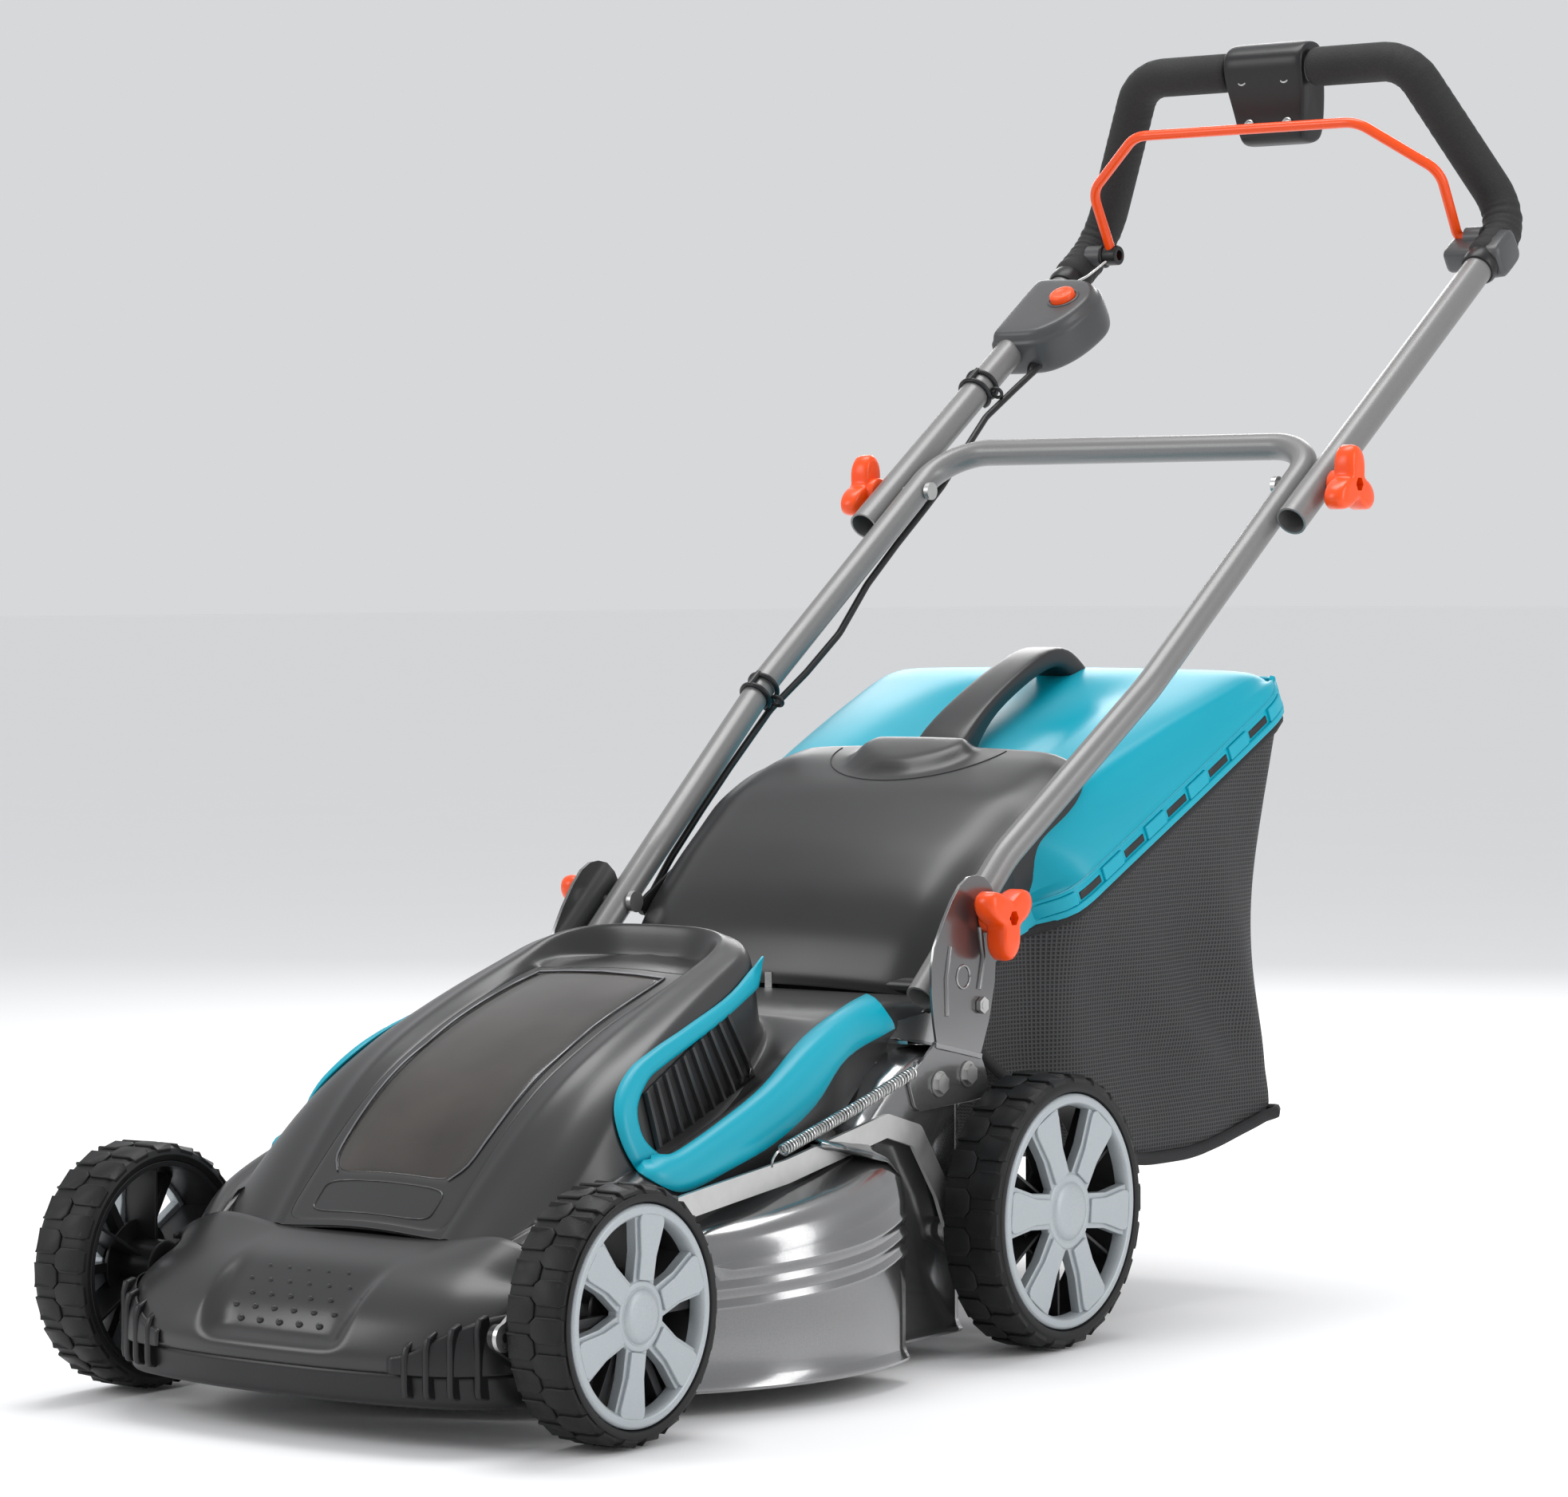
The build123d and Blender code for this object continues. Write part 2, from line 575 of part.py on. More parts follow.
def upper_tube():
    points, bends = hoop(UPPER_POINTS, [42, 36])
    bar = tube(points, bends, UPPER_R, UPPER_R - TUBE_WALL)
    return bar - rod_x(-230, 230, HIGH_PIVOT, BOLT_R + RUNNING)


def foam_grips():
    """Foam sleeves round the upper corners of the handle, one each side of the centre box."""
    points = [(UPPER_X, *on_upper_run(592)), UPPER_POINTS[1], UPPER_POINTS[2], (38, 593, 957)]
    sleeve = tube(points, [42, 36], FOAM_R, UPPER_R)
    sleeve -= rod_x(160, 190, BAIL_PIVOT, 9.3)
    return pair(sleeve)


def centre_box():
    """Moulded housing clamped on the middle of the upper tube."""
    side = [(573, 964), (580, 975), (606, 980), (614, 970), (627, 908), (620, 897), (597, 894), (589, 902)]
    body = side_prism(side, -36, 36)
    return body - rod_x(-60, 60, (593, 957), UPPER_R)


def bail_bushes():
    bush = rod_x(173.5, 188, BAIL_PIVOT, 9)
    points, bends = hoop(UPPER_POINTS, [42, 36])
    bush -= tube(points, bends, UPPER_R)
    bush = solid_of(bush)
    return pair(bush - rod_x(160, 190, BAIL_PIVOT, BAIL_R + RUNNING))


def bail():
    y, z = BAIL_PIVOT
    points, bends = hoop([(183, y, z), (165, y, z), (165, 577, 864), (105, 548, 905)], [7, 25, 30])
    return tube(points, bends, BAIL_R)


SWITCH_FRAME = tilted_frame((-UPPER_X, *on_upper_run(536)), UPPER_SLOPE)
BUTTON_AT = (31, 8)
BUTTON_R = 11


def switch_box():
    """Housing clamped round the left tube; its flat top carries the start button."""
    outline = [(-15, -47), (30, -47), (52, -28), (60, 8), (46, 38), (36, 47), (-15, 47)]
    face = make_face(Polyline(*[(x, y, -24) for x, y in outline], close=True))
    body = extrude(face, amount=42, dir=(0, 0, 1))
    body = chamfer(body.faces().sort_by(Axis.Z)[-1].edges(), 3)
    body -= Pos(*BUTTON_AT, 14) * Cylinder(BUTTON_R + 0.4, 16)
    tunnel = Rot(90, 0, 0) * Cylinder(UPPER_R + 0.02, 120)
    return SWITCH_FRAME.location * (body - tunnel)


def start_button():
    cap = Pos(*BUTTON_AT, 17.5) * Cylinder(BUTTON_R, 13)
    cap = fillet(cap.edges().sort_by(Axis.Z)[-1], 2)
    return SWITCH_FRAME.location * cap


def star_knob(at, x_face, turn):
    """Three-lobed knob with its washer face against the handle and a hexagon recess outside."""
    hub = rod_x(x_face, x_face + 24, at, 11)
    for step in range(3):
        tip = offset_yz(at, turn + 120 * step, 22)
        hub += arm_plate(at, tip, 17, x_face + 6, x_face + 24)
    hub -= rod_x(x_face - 1, x_face + 20, at, BOLT_R + RUNNING)
    return hub - hexagon(x_face + 23, at, 5.5, 3)


LOWER_KNOB_X = BODY_HALF + SHEET + 1.4
UPPER_KNOB_X = UPPER_X + UPPER_R + 0.6


def upper_bolts():
    inner = LOWER_X - LOWER_R
    head = rod_x(inner - 5, inner - 1, HIGH_PIVOT, 7)
    return pair(head + rod_x(inner - 1, UPPER_KNOB_X + 18, HIGH_PIVOT, BOLT_R))


# ---- control cable ----------------------------------------------------------------------------------------
CABLE_R = 2.8
CABLE_JOIN = (-176, 400, 643)
UPPER_CABLE = [(-172, 505, 715), (-176, 472, 694), (-179, 436, 671.4), CABLE_JOIN]
LOWER_CABLE = [CABLE_JOIN, (-172.85, 362.2, 613.18), (-171, 334, 594), (-170, 294, 566), (-168, 250, 534),
               (-165, 208, 496), (-166, 165, 466), (-168, 120, 438), (-162, 60, 396), (-157, 16, 364),
               (-153, -26, 331), (-153, -62, 292)]


def cable(points, radii):
    return tube(points, radii, CABLE_R)


# ---- write every piece ------------------------------------------------------------------------------------
def main():
    os.makedirs("parts", exist_ok=True)
    save(deck_housing(), "deck_housing")
    save(undertray(), "undertray")
    save(nose_cover(), "nose_cover")

    shell = hood_shell()
    right_trim = solid_of(trim(shell))
    right_grille = solid_of(grille(shell - right_trim))
    zone = shell & side_prism(GRILLE_ZONE, 90, 143)
    cuts = [right_trim, mirrored(right_trim), zone, mirrored(zone)]
    save(right_trim, "trim_right")
    save(mirrored(right_trim), "trim_left")
    save(right_grille, "grille_right")
    save(mirrored(right_grille), "grille_left")
    save(motor_hood(shell, cuts), "motor_hood")
    frame, window = battery_lid(shell)
    save(frame, "lid_frame")
    save(window, "lid_window")
    save(rear_shelf(), "rear_shelf")
    save(battery_pack(), "battery_pack")
    save(motor_housing(), "motor_housing")

    save(motor_shaft(), "motor_shaft")
    save(blade(), "blade")
    save(blade_hub(), "blade_hub")

    save(cranked_rod(FRONT_ROD, (FRONT_Y, FRONT_R)), "front_axle_rod")
    save(cranked_rod(REAR_ROD, (REAR_Y, REAR_R)), "rear_axle_rod")
    save(height_lever(), "height_lever")
    save(lever_grip(), "lever_grip")
    save(height_quadrant(), "height_quadrant")
    save(height_link(), "height_link")
    save(axle_clamps(), "axle_clamps")
    for name, radius, y in (("front", FRONT_R, FRONT_Y), ("rear", REAR_R, REAR_Y)):
        outer_ring, disc = tyre(radius, (y, radius)), wheel_disc(radius, (y, radius))
        save(outer_ring, f"{name}_right_tyre")
        save(mirrored(outer_ring), f"{name}_left_tyre")
        save(disc, f"{name}_right_wheel")
        save(mirrored(disc), f"{name}_left_wheel")

    bracket = handle_bracket()
    save(bracket, "bracket_right")
    save(mirrored(bracket), "bracket_left")
    save(bracket_bolts(), "bracket_bolts")
    save(counter_spring(), "counter_spring")
    save(flap(), "flap")
    save(flap_rod(), "flap_rod")

    save(box_lid(), "box_lid")
    save(box_handle(), "box_handle")
    save(grass_bag(), "grass_bag")

    save(lower_tube(), "lower_tube")
    save(upper_bolts(), "upper_bolts")
    save(upper_tube(), "upper_tube")
    save(foam_grips(), "foam_grips")
    save(centre_box(), "centre_box")
    save(bail_bushes(), "bail_bushes")
    save(switch_box(), "switch_box")
    save(start_button(), "start_button")
    save(bail(), "bail")
    low_knob = star_knob(LOW_PIVOT, LOWER_KNOB_X, 30)
    high_knob = star_knob(HIGH_PIVOT, UPPER_KNOB_X, 90)
    save(low_knob, "lower_right_knob")
    save(mirrored(low_knob), "lower_left_knob")
    save(high_knob, "upper_right_knob")
    save(mirrored(high_knob), "upper_left_knob")
    save(cable(UPPER_CABLE, 40), "upper_cable")
    save(cable(LOWER_CABLE, 60), "lower_cable")


main()
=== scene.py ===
import math

import bmesh
import bpy
from mathutils import Matrix, Vector
from mathutils.bvhtree import BVHTree


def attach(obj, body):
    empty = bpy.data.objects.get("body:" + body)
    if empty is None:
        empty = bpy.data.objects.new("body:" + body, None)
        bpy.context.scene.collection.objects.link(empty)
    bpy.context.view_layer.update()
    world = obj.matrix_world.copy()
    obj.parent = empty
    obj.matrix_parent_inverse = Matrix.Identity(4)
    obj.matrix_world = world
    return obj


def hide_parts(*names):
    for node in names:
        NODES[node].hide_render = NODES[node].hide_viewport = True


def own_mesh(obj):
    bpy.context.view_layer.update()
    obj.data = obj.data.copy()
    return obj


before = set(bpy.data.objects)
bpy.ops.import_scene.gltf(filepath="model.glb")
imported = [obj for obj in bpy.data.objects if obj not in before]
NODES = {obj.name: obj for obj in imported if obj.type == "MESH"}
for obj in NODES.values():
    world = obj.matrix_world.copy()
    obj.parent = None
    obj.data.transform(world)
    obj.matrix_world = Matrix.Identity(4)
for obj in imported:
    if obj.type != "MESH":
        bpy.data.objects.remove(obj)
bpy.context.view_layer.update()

MM = 0.001

# ---- camera, floor and lights ------------------------------------------------------------------------------
# The mower stands on a pale studio floor. A long lens looks at its nose and its link side from just above
# the wheels, with a big soft light overhead and one from each side.
EYE = Vector((2.1006, -2.9684, 0.5353))
eye = bpy.data.objects.new("camera", bpy.data.cameras.new("camera"))
bpy.context.scene.collection.objects.link(eye)
eye.location = EYE
look = Vector((-0.58944, 0.80713, -0.03316)).to_track_quat("-Z", "Y").to_matrix().to_4x4()
eye.matrix_world = Matrix.Translation(EYE) @ look @ Matrix.Rotation(math.radians(-0.18), 4, "Z")
eye.data.lens = 114.2
eye.data.sensor_width = 36
bpy.context.scene.camera = eye


def studio_light(name, place, target, size, power, tint=(1, 1, 1)):
    lamp = bpy.data.objects.new(name, bpy.data.lights.new(name, "AREA"))
    bpy.context.scene.collection.objects.link(lamp)
    lamp.location = place
    lamp.rotation_euler = (Vector(target) - Vector(place)).to_track_quat("-Z", "Y").to_euler()
    lamp.data.shape = "RECTANGLE"
    lamp.data.size, lamp.data.size_y = size
    lamp.data.energy, lamp.data.color = power, tint


studio_light("overhead", (-0.3, 0.3, 2.6), (0, -0.1, 0.3), (1.6, 1.0), 30)
studio_light("link_side", (2.4, 0.5, 1.2), (0, 0, 0.3), (0.7, 2.0), 20)
studio_light("nose_side", (-1.7, -2.4, 1.7), (0, -0.3, 0.3), (1.0, 1.4), 22)
studio_light("behind", (-1.2, 2.4, 1.6), (0, 0.2, 0.5), (1.6, 1.0), 22)

world = bpy.data.worlds.new("studio")
bpy.context.scene.world = world
world.use_nodes = True
world.node_tree.nodes["Background"].inputs["Color"].default_value = (0.97, 0.98, 1.0, 1)
world.node_tree.nodes["Background"].inputs["Strength"].default_value = 0.7
bpy.context.scene.view_settings.view_transform = "Standard"


class Wire:
    """A shader socket that takes part in Python expressions; each operator adds one Math node."""

    def __init__(self, finish, socket):
        self.finish, self.socket = finish, socket

    def __add__(self, other):
        return self.finish.maths("ADD", self, other)

    def __radd__(self, other):
        return self.finish.maths("ADD", other, self)

    def __sub__(self, other):
        return self.finish.maths("SUBTRACT", self, other)

    def __rsub__(self, other):
        return self.finish.maths("SUBTRACT", other, self)

    def __mul__(self, other):
        return self.finish.maths("MULTIPLY", self, other)

    def __rmul__(self, other):
        return self.finish.maths("MULTIPLY", other, self)


class Finish:
    """One material: its constants sit on the shader's sockets, and node() adds whatever varies."""

    def __init__(self, name, **constants):
        self.material = bpy.data.materials.new(name)
        self.material.use_nodes = True
        self.tree = self.material.node_tree
        self.shader = self.tree.nodes["Principled BSDF"]
        for key, value in constants.items():
            socket = self.shader.inputs[key.replace("_", " ").title().replace("Ior", "IOR")]
            socket.default_value = (*value, 1) if isinstance(value, tuple) else value

    def node(self, kind, settings=None, sockets=None, output=0):
        made = self.tree.nodes.new("ShaderNode" + kind)
        for key, value in (settings or {}).items():
            setattr(made, key, value)
        for key, value in (sockets or {}).items():
            if isinstance(value, Wire):
                self.tree.links.new(value.socket, made.inputs[key])
            else:
                made.inputs[key].default_value = (*value, 1) if isinstance(value, tuple) else value
        return Wire(self, made.outputs[output])

    def maths(self, operation, *values):
        return self.node("Math", {"operation": operation}, dict(enumerate(values)))

    def place(self):
        """Position in metres, in the mower's own frame."""
        return self.node("TexCoord", output="Object")

    def noise(self, scale, detail=3.0, at=None, roughness=0.5):
        return self.node("TexNoise", {}, {"Vector": at or self.place(), "Scale": scale, "Detail": detail,
                                          "Roughness": roughness})

    def mix(self, share, low, high):
        return self.node("Mix", {"data_type": "RGBA"}, {0: share, 6: low, 7: high}, output=2)

    def band(self, value, low, high):
        """0 under low, 1 over high, smooth between."""
        return self.node("MapRange", {"interpolation_type": "SMOOTHSTEP"},
                         {"Value": value, "From Min": low, "From Max": high})

    def axis(self, letter, at=None):
        return self.node("SeparateXYZ", {}, {0: at or self.place()}, output=letter)

    def relief(self, height, distance, strength=1.0, under=None):
        sockets = {"Height": height, "Distance": distance, "Strength": strength}
        if under:
            sockets["Normal"] = under
        return self.node("Bump", {}, sockets)

    def feed(self, socket, wire):
        self.tree.links.new(wire.socket, self.shader.inputs[socket])

    def edges(self):
        """1 along raised edges, from the mesh's own pointiness."""
        return self.band(self.node("NewGeometry", output="Pointiness"), 0.52, 0.60)


backdrop = Finish("pale_floor", roughness=0.9)
backdrop.feed("Base Color", backdrop.mix(backdrop.noise(3.0), (0.955, 0.955, 0.96), (0.975, 0.975, 0.975)))
floor = bpy.data.objects.new("floor", bpy.data.meshes.new("floor"))
floor.data.from_pydata([(-60, -60, -0.0005), (60, -60, -0.0005), (60, 90, -0.0005), (-60, 90, -0.0005)], [],
                       [(0, 1, 2, 3)])
floor.data.materials.append(backdrop.material)
bpy.context.scene.collection.objects.link(floor)


# ---- finishes shared by many small pieces --------------------------------------------------------------------
# Moulded plastics have a fine spark-eroded grain and edges rubbed lighter; lacquered steel has flake and a
# slight orange peel; plated steel is brushed with dull patches.
def moulded(name, colour, roughness=0.42, grain=900.0, depth=0.00012, coat=0.0, wear=0.10, mottle=0.12):
    f = Finish(name, base_color=colour, specular_ior_level=0.32, coat_roughness=0.25, coat_weight=coat)
    cloud = f.noise(9.0, 4.0)
    light = tuple(min(1.0, c * (1 + mottle) + 0.002) for c in colour)
    dark = tuple(c * (1 - mottle) for c in colour)
    rubbed = tuple(min(1.0, c * 1.5 + 0.015) for c in colour)
    body = f.mix(cloud, dark, light)
    f.feed("Base Color", f.mix(f.edges() * wear * 4.0, body, rubbed))
    f.feed("Roughness", cloud * 0.16 + (roughness - 0.08))
    f.feed("Normal", f.relief(f.noise(grain, 2.0), depth, 0.6))
    return f


def lacquered(name, colour, metallic=0.6, roughness=0.28, coat=0.6, wear=0.35):
    f = Finish(name, base_color=colour, coat_roughness=0.08, coat_weight=coat)
    flake = f.noise(1500.0, 1.0)
    cloud = f.noise(14.0, 5.0)
    bright = tuple(min(1.0, c * 1.25) for c in colour)
    f.feed("Base Color", f.mix(f.edges() * wear, f.mix(flake, tuple(c * 0.85 for c in colour), bright),
                               (0.75, 0.75, 0.75)))
    f.feed("Metallic", flake * 0.2 + (metallic - 0.1))
    f.feed("Roughness", cloud * 0.14 + (roughness - 0.07))
    f.feed("Normal", f.relief(f.noise(240.0, 1.0), 0.00005, 0.12))
    return f


def plated(name, colour, roughness=0.32):
    f = Finish(name, base_color=colour)
    cloud = f.noise(60.0, 6.0)
    f.feed("Base Color", f.mix(cloud, tuple(c * 0.72 for c in colour), tuple(min(1, c * 1.1) for c in colour)))
    f.feed("Metallic", cloud * 0.1 + 0.85)
    f.feed("Roughness", cloud * 0.25 + (roughness - 0.12))
    f.feed("Normal", f.relief(f.noise(1400.0, 2.0), 0.00005, 0.5))
    return f


black_plastic = moulded("black_plastic", (0.010, 0.010, 0.011), roughness=0.38, coat=0.12, wear=0.05)
zinc = plated("zinc_plate", (0.58, 0.58, 0.57))
tool_steel = plated("oiled_steel", (0.20, 0.20, 0.21), roughness=0.4)
alloy = plated("cast_alloy", (0.42, 0.42, 0.44), roughness=0.5)


def paint(finish, *names):
    """Gives CAD nodes that keep their own shape a finish."""
    for name in names:
        mesh = NODES[name].data
        mesh.materials.clear()
        mesh.materials.append(finish.material)
        for polygon in mesh.polygons:
            polygon.material_index = 0


class Form:
    """Vertices, in millimetres, and faces of a piece while it is shaped."""

    def __init__(self):
        self.points, self.faces = [], []

    def grid(self, rows, wrap=False, ends=False, skip=None):
        """A skin over rows of points; wrap closes each row on itself and ends closes both last rows."""
        first, wide = len(self.points), len(rows[0])
        for row in rows:
            self.points += [tuple(p) for p in row]
        for r in range(len(rows) - 1):
            for c in range(wide if wrap else wide - 1):
                if skip and skip(r, c):
                    continue
                a, b = first + r * wide + c, first + r * wide + (c + 1) % wide
                self.faces.append((a, b, b + wide, a + wide))
        if ends:
            self.faces.append(tuple(range(first, first + wide))[::-1])
            self.faces.append(tuple(range(first + (len(rows) - 1) * wide, first + len(rows) * wide)))
        return self

    def slab(self, outline, x0, x1):
        """A (y, z) outline carried across from x0 to x1."""
        return self.grid([[(x, y, z) for y, z in outline] for x in (x0, x1)], wrap=True, ends=True)

    def spun(self, profile, centre, steps):
        """(x, radius) profile turned about an axle across the mower at centre (y, z)."""
        rows = []
        for step in range(steps + 1):
            a = 2 * math.pi * step / steps
            rows.append([(x, centre[0] + r * math.cos(a), centre[1] + r * math.sin(a)) for x, r in profile])
        return self.grid(rows, wrap=True)

    def pipe(self, line, radius, sides=16, flat=1.0):
        """A round bar along points; radius may be one number or one for each point."""
        line = [Vector(p) for p in line]
        rows, side = [], None
        for i, p in enumerate(line):
            ahead = (line[min(i + 1, len(line) - 1)] - line[max(i - 1, 0)]).normalized()
            if side is None:
                side = ahead.cross(Vector((0, 0, 1)) if abs(ahead.z) < 0.9 else Vector((1, 0, 0))).normalized()
            side = (side - ahead * side.dot(ahead)).normalized()
            up = side.cross(ahead)
            r = radius[i] if isinstance(radius, (list, tuple)) else radius
            rows.append([p + (side * math.cos(a) + up * math.sin(a) * flat) * r
                         for a in (2 * math.pi * k / sides for k in range(sides))])
        return self.grid(rows, wrap=True, ends=True)

    def block(self, x0, x1, y0, y1, z0, z1):
        return self.slab([(y0, z0), (y1, z0), (y1, z1), (y0, z1)], x0, x1)

    def add(self, other, matrix=None):
        first = len(self.points)
        self.points += [tuple(matrix @ Vector(p)) if matrix else p for p in other.points]
        self.faces += [tuple(first + v for v in face) for face in other.faces]
        return self

    def mirrored(self):
        twin = Form()
        twin.points = [(-x, y, z) for x, y, z in self.points]
        twin.faces = [face[::-1] for face in self.faces]
        return twin

    def piece(self, name, finish, body, slot, bevel=0.0, soften=0, wall=0.0, sharp=35, outward=True):
        """The finished object: softened, given a wall and broken edges, then put on its body; slot is not used."""
        mesh = bpy.data.meshes.new(name)
        mesh.from_pydata([(x * MM, y * MM, z * MM) for x, y, z in self.points], [], self.faces)
        shaper = bmesh.new()
        shaper.from_mesh(mesh)
        bmesh.ops.remove_doubles(shaper, verts=shaper.verts, dist=0.00002)
        if outward:
            bmesh.ops.recalc_face_normals(shaper, faces=shaper.faces)
            middle = sum((v.co for v in shaper.verts), Vector()) / len(shaper.verts)
            if sum(f.normal.dot(f.calc_center_median() - middle) * f.calc_area() for f in shaper.faces) < 0:
                bmesh.ops.reverse_faces(shaper, faces=shaper.faces)
        shaper.to_mesh(mesh)
        shaper.free()
        item = bpy.data.objects.new(name, mesh)
        bpy.context.scene.collection.objects.link(item)
        if soften:
            smooth = item.modifiers.new("soften", "SUBSURF")
            smooth.levels = smooth.render_levels = soften
        if wall:
            shell = item.modifiers.new("wall", "SOLIDIFY")
            shell.thickness, shell.offset = wall * MM, -1
        if bevel:
            edge = item.modifiers.new("edge", "BEVEL")
            edge.width, edge.segments, edge.limit_method = bevel * MM, 2, "ANGLE"
            edge.angle_limit = math.radians(sharp)
        mesh.materials.append(finish.material)
        mesh.shade_smooth()
        mesh.set_sharp_from_angle(angle=math.radians(sharp + 10))
        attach(item, body)
        return item


def smooth_line(points, steps=6):
    """More points along a smooth line through the given ones, ends kept."""
    line = [Vector(p) for p in points]
    line = [line[0] * 2 - line[1]] + line + [line[-1] * 2 - line[-2]]
    out = []
    for a, b, c, d in zip(line, line[1:], line[2:], line[3:]):
        for k in range(steps):
            t = k / steps
            out.append(0.5 * (2 * b + (c - a) * t + (2 * a - 5 * b + 4 * c - d) * t * t
                              + (3 * b - a - 3 * c + d) * t ** 3))
    return out + [line[-2]]


def along(stations, place):
    """Value at a place on a smooth curve through (place, value) stations."""
    if place <= stations[0][0]:
        return stations[0][1]
    for i in range(len(stations) - 1):
        (x0, v0), (x1, v1) = stations[i], stations[i + 1]
        if place <= x1:
            before = stations[max(i - 1, 0)]
            after = stations[min(i + 2, len(stations) - 1)]
            span = x1 - x0
            m0 = (v1 - before[1]) / (x1 - before[0]) * span
            m1 = (after[1] - v0) / (after[0] - x0) * span
            t = (place - x0) / span
            return ((2 * t ** 3 - 3 * t * t + 1) * v0 + (t ** 3 - 2 * t * t + t) * m0
                    + (3 * t * t - 2 * t ** 3) * v1 + (t ** 3 - t * t) * m1)
    return stations[-1][1]


def skin_of(item):
    """The finished skin of a piece, for laying other pieces on it."""
    shown = item.evaluated_get(bpy.context.evaluated_depsgraph_get()).data
    return BVHTree.FromPolygons([v.co.copy() for v in shown.vertices], [tuple(p.vertices) for p in shown.polygons])


def dropped(skin, x, y):
    """The place, in millimetres, where a plumb line at x, y meets a skin."""
    place, _, _, _ = skin.ray_cast(Vector((x * MM, y * MM, 0.6)), Vector((0, 0, -1)))
    return place / MM


# ---- steel deck ------------------------------------------------------------------------------------------------
# The deck is one deep pressing with a rolled lower rim, a domed shoulder and three shallow swages round the
# cutting chamber. It is stove-lacquered in a glossy metallic grey.
deck_paint = lacquered("deck_lacquer", (0.20, 0.20, 0.202), metallic=0.85, roughness=0.20, coat=0.9)
SPINDLE_Y = -307
SKIRT_R = 218
DECK_RIM_Z = 15


def deck_plan():
    """Half plan of the skirt from the nose round to the rear wall: x, y, top height, corner radius."""
    line = []
    for k in range(31):
        a = math.radians(-90 + 108 * k / 30)
        x, y = SKIRT_R * math.cos(a), SPINDLE_Y + SKIRT_R * math.sin(a)
        top = along([(-526, 112), (-435, 120), (-298, 138), (-241, 150)], y)
        line.append((x, y, top, 24))
    line += [(206, -238.5, 151, 24), (200, -235, 153, 22), (188, -233, 156, 18), (176, -231, 160, 14),
             (168, -226, 166, 12), (165, -215, 176, 12), (165, -195, 196, 12), (165, -160, 212, 12),
             (165, -120, 212, 12), (164, -113, 212, 12), (160, -111, 212, 12), (60, -111, 212, 12),
             (0, -111, 212, 12)]
    return line


def deck_skin():
    form = Form()
    plan = deck_plan()
    half = []
    for i, (x, y, top, bend) in enumerate(plan):
        ahead, back = plan[min(i + 1, len(plan) - 1)], plan[max(i - 1, 0)]
        run = Vector((ahead[0] - back[0], ahead[1] - back[1]))
        out = Vector((run.y, -run.x)).normalized() if run.length > 0.01 else Vector((0, 1))
        low = DECK_RIM_Z
        swage = 1.0 if x > 60 and y < -236 else 0.0
        shape = [(-1.5, low + 1), (2.2, low), (3.2, low + 2), (1.2, low + 5), (0, low + 9), (0, low + 30)]
        for rise in (52, 64, 76):
            lift = along([(-526, -6), (-400, 0), (-298, 8), (-241, 18)], y)
            z = low + rise + lift
            if z + 8 < top - bend:
                shape += [(0, z), (1.6 * swage, z + 2), (1.8 * swage, z + 4), (0, z + 7)]
            else:
                shape += [(0, top - bend - 1)] * 4
        shape += [(0, top - bend), (-bend * 0.13, top - bend * 0.5), (-bend * 0.5, top - bend * 0.13),
                  (-bend, top), (-bend - 22, top + 5), (-bend - 44, top + 9)]
        half.append([(x + out.x * d if i else 0, y + out.y * d, z) for d, z in shape])
    ring = half + [[(-x, y, z) for x, y, z in row] for row in reversed(half[1:-1])]
    form.grid(ring + [ring[0]])
    return form


deck_shell = deck_skin().piece("deck_shell", deck_paint, "deck", "steel_deck", wall=2.4, sharp=50)
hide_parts("deck_housing")
neck = Form()
neck_side = [(-165, 160), (-165, 231), (-105, 236), (-75, 214), (-64, 204), (-112, 112), (-112, 160)]
for x0, x1 in ((-141, -138), (138, 141)):
    neck.slab(neck_side, x0, x1)
neck.grid([[(x, y, z) for x in (-141, 141)] for y, z in ((-185, 200), (-165, 233), (-135, 236), (-106, 238))])
neck.grid([[(x, y, z) for x in (-141, 141)] for y, z in ((-65, 203), (-64, 190), (-112, 113), (-112, 20))])
for x in (-132, 0, 132):
    neck.block(x - 3, x + 3, -112, -94, 232, 258)
neck.piece("deck_neck", deck_paint, "deck", "steel_deck", wall=2.4, outward=False)
paint(zinc, "height_quadrant", "flap_rod", "rear_axle_rod", "height_lever",
      "bracket_bolts", "upper_bolts", "height_link")
paint(tool_steel, "motor_shaft", "blade")
paint(alloy, "motor_housing")
paint(black_plastic, "front_axle_rod", "blade_hub", "battery_pack", "axle_clamps")

# ---- motor hood, its lid and its window ---------------------------------------------------------------------------
# The hood is a moulded satin cover: a domed pod with a scooped grab bowl at its rear end, ledges on both
# sides, and a battery door with a smoked window hinged at the nose.
hood_grey = moulded("hood_grey", (0.026, 0.026, 0.0265), roughness=0.32, grain=1100.0, depth=0.00006, coat=0.3,
                    wear=0.03)
LID_LINE = [(-556, 120), (-540, 136), (-520, 155), (-495, 178), (-470, 198), (-445, 214), (-420, 226),
            (-385, 242), (-350, 254), (-320, 263), (-292, 270), (-262, 275), (-230, 278)]
RIDGE_LINE = [(-556, 121), (-520, 156), (-470, 200), (-420, 230), (-350, 260), (-290, 282), (-250, 297),
              (-232, 302)]
RIDGE_HALF = [(-556, 74), (-520, 78), (-470, 84), (-420, 86), (-350, 84), (-290, 80), (-232, 76)]
SHOULDER_LINE = [(-556, 113), (-520, 142), (-470, 184), (-420, 214), (-350, 244), (-290, 266), (-232, 284)]
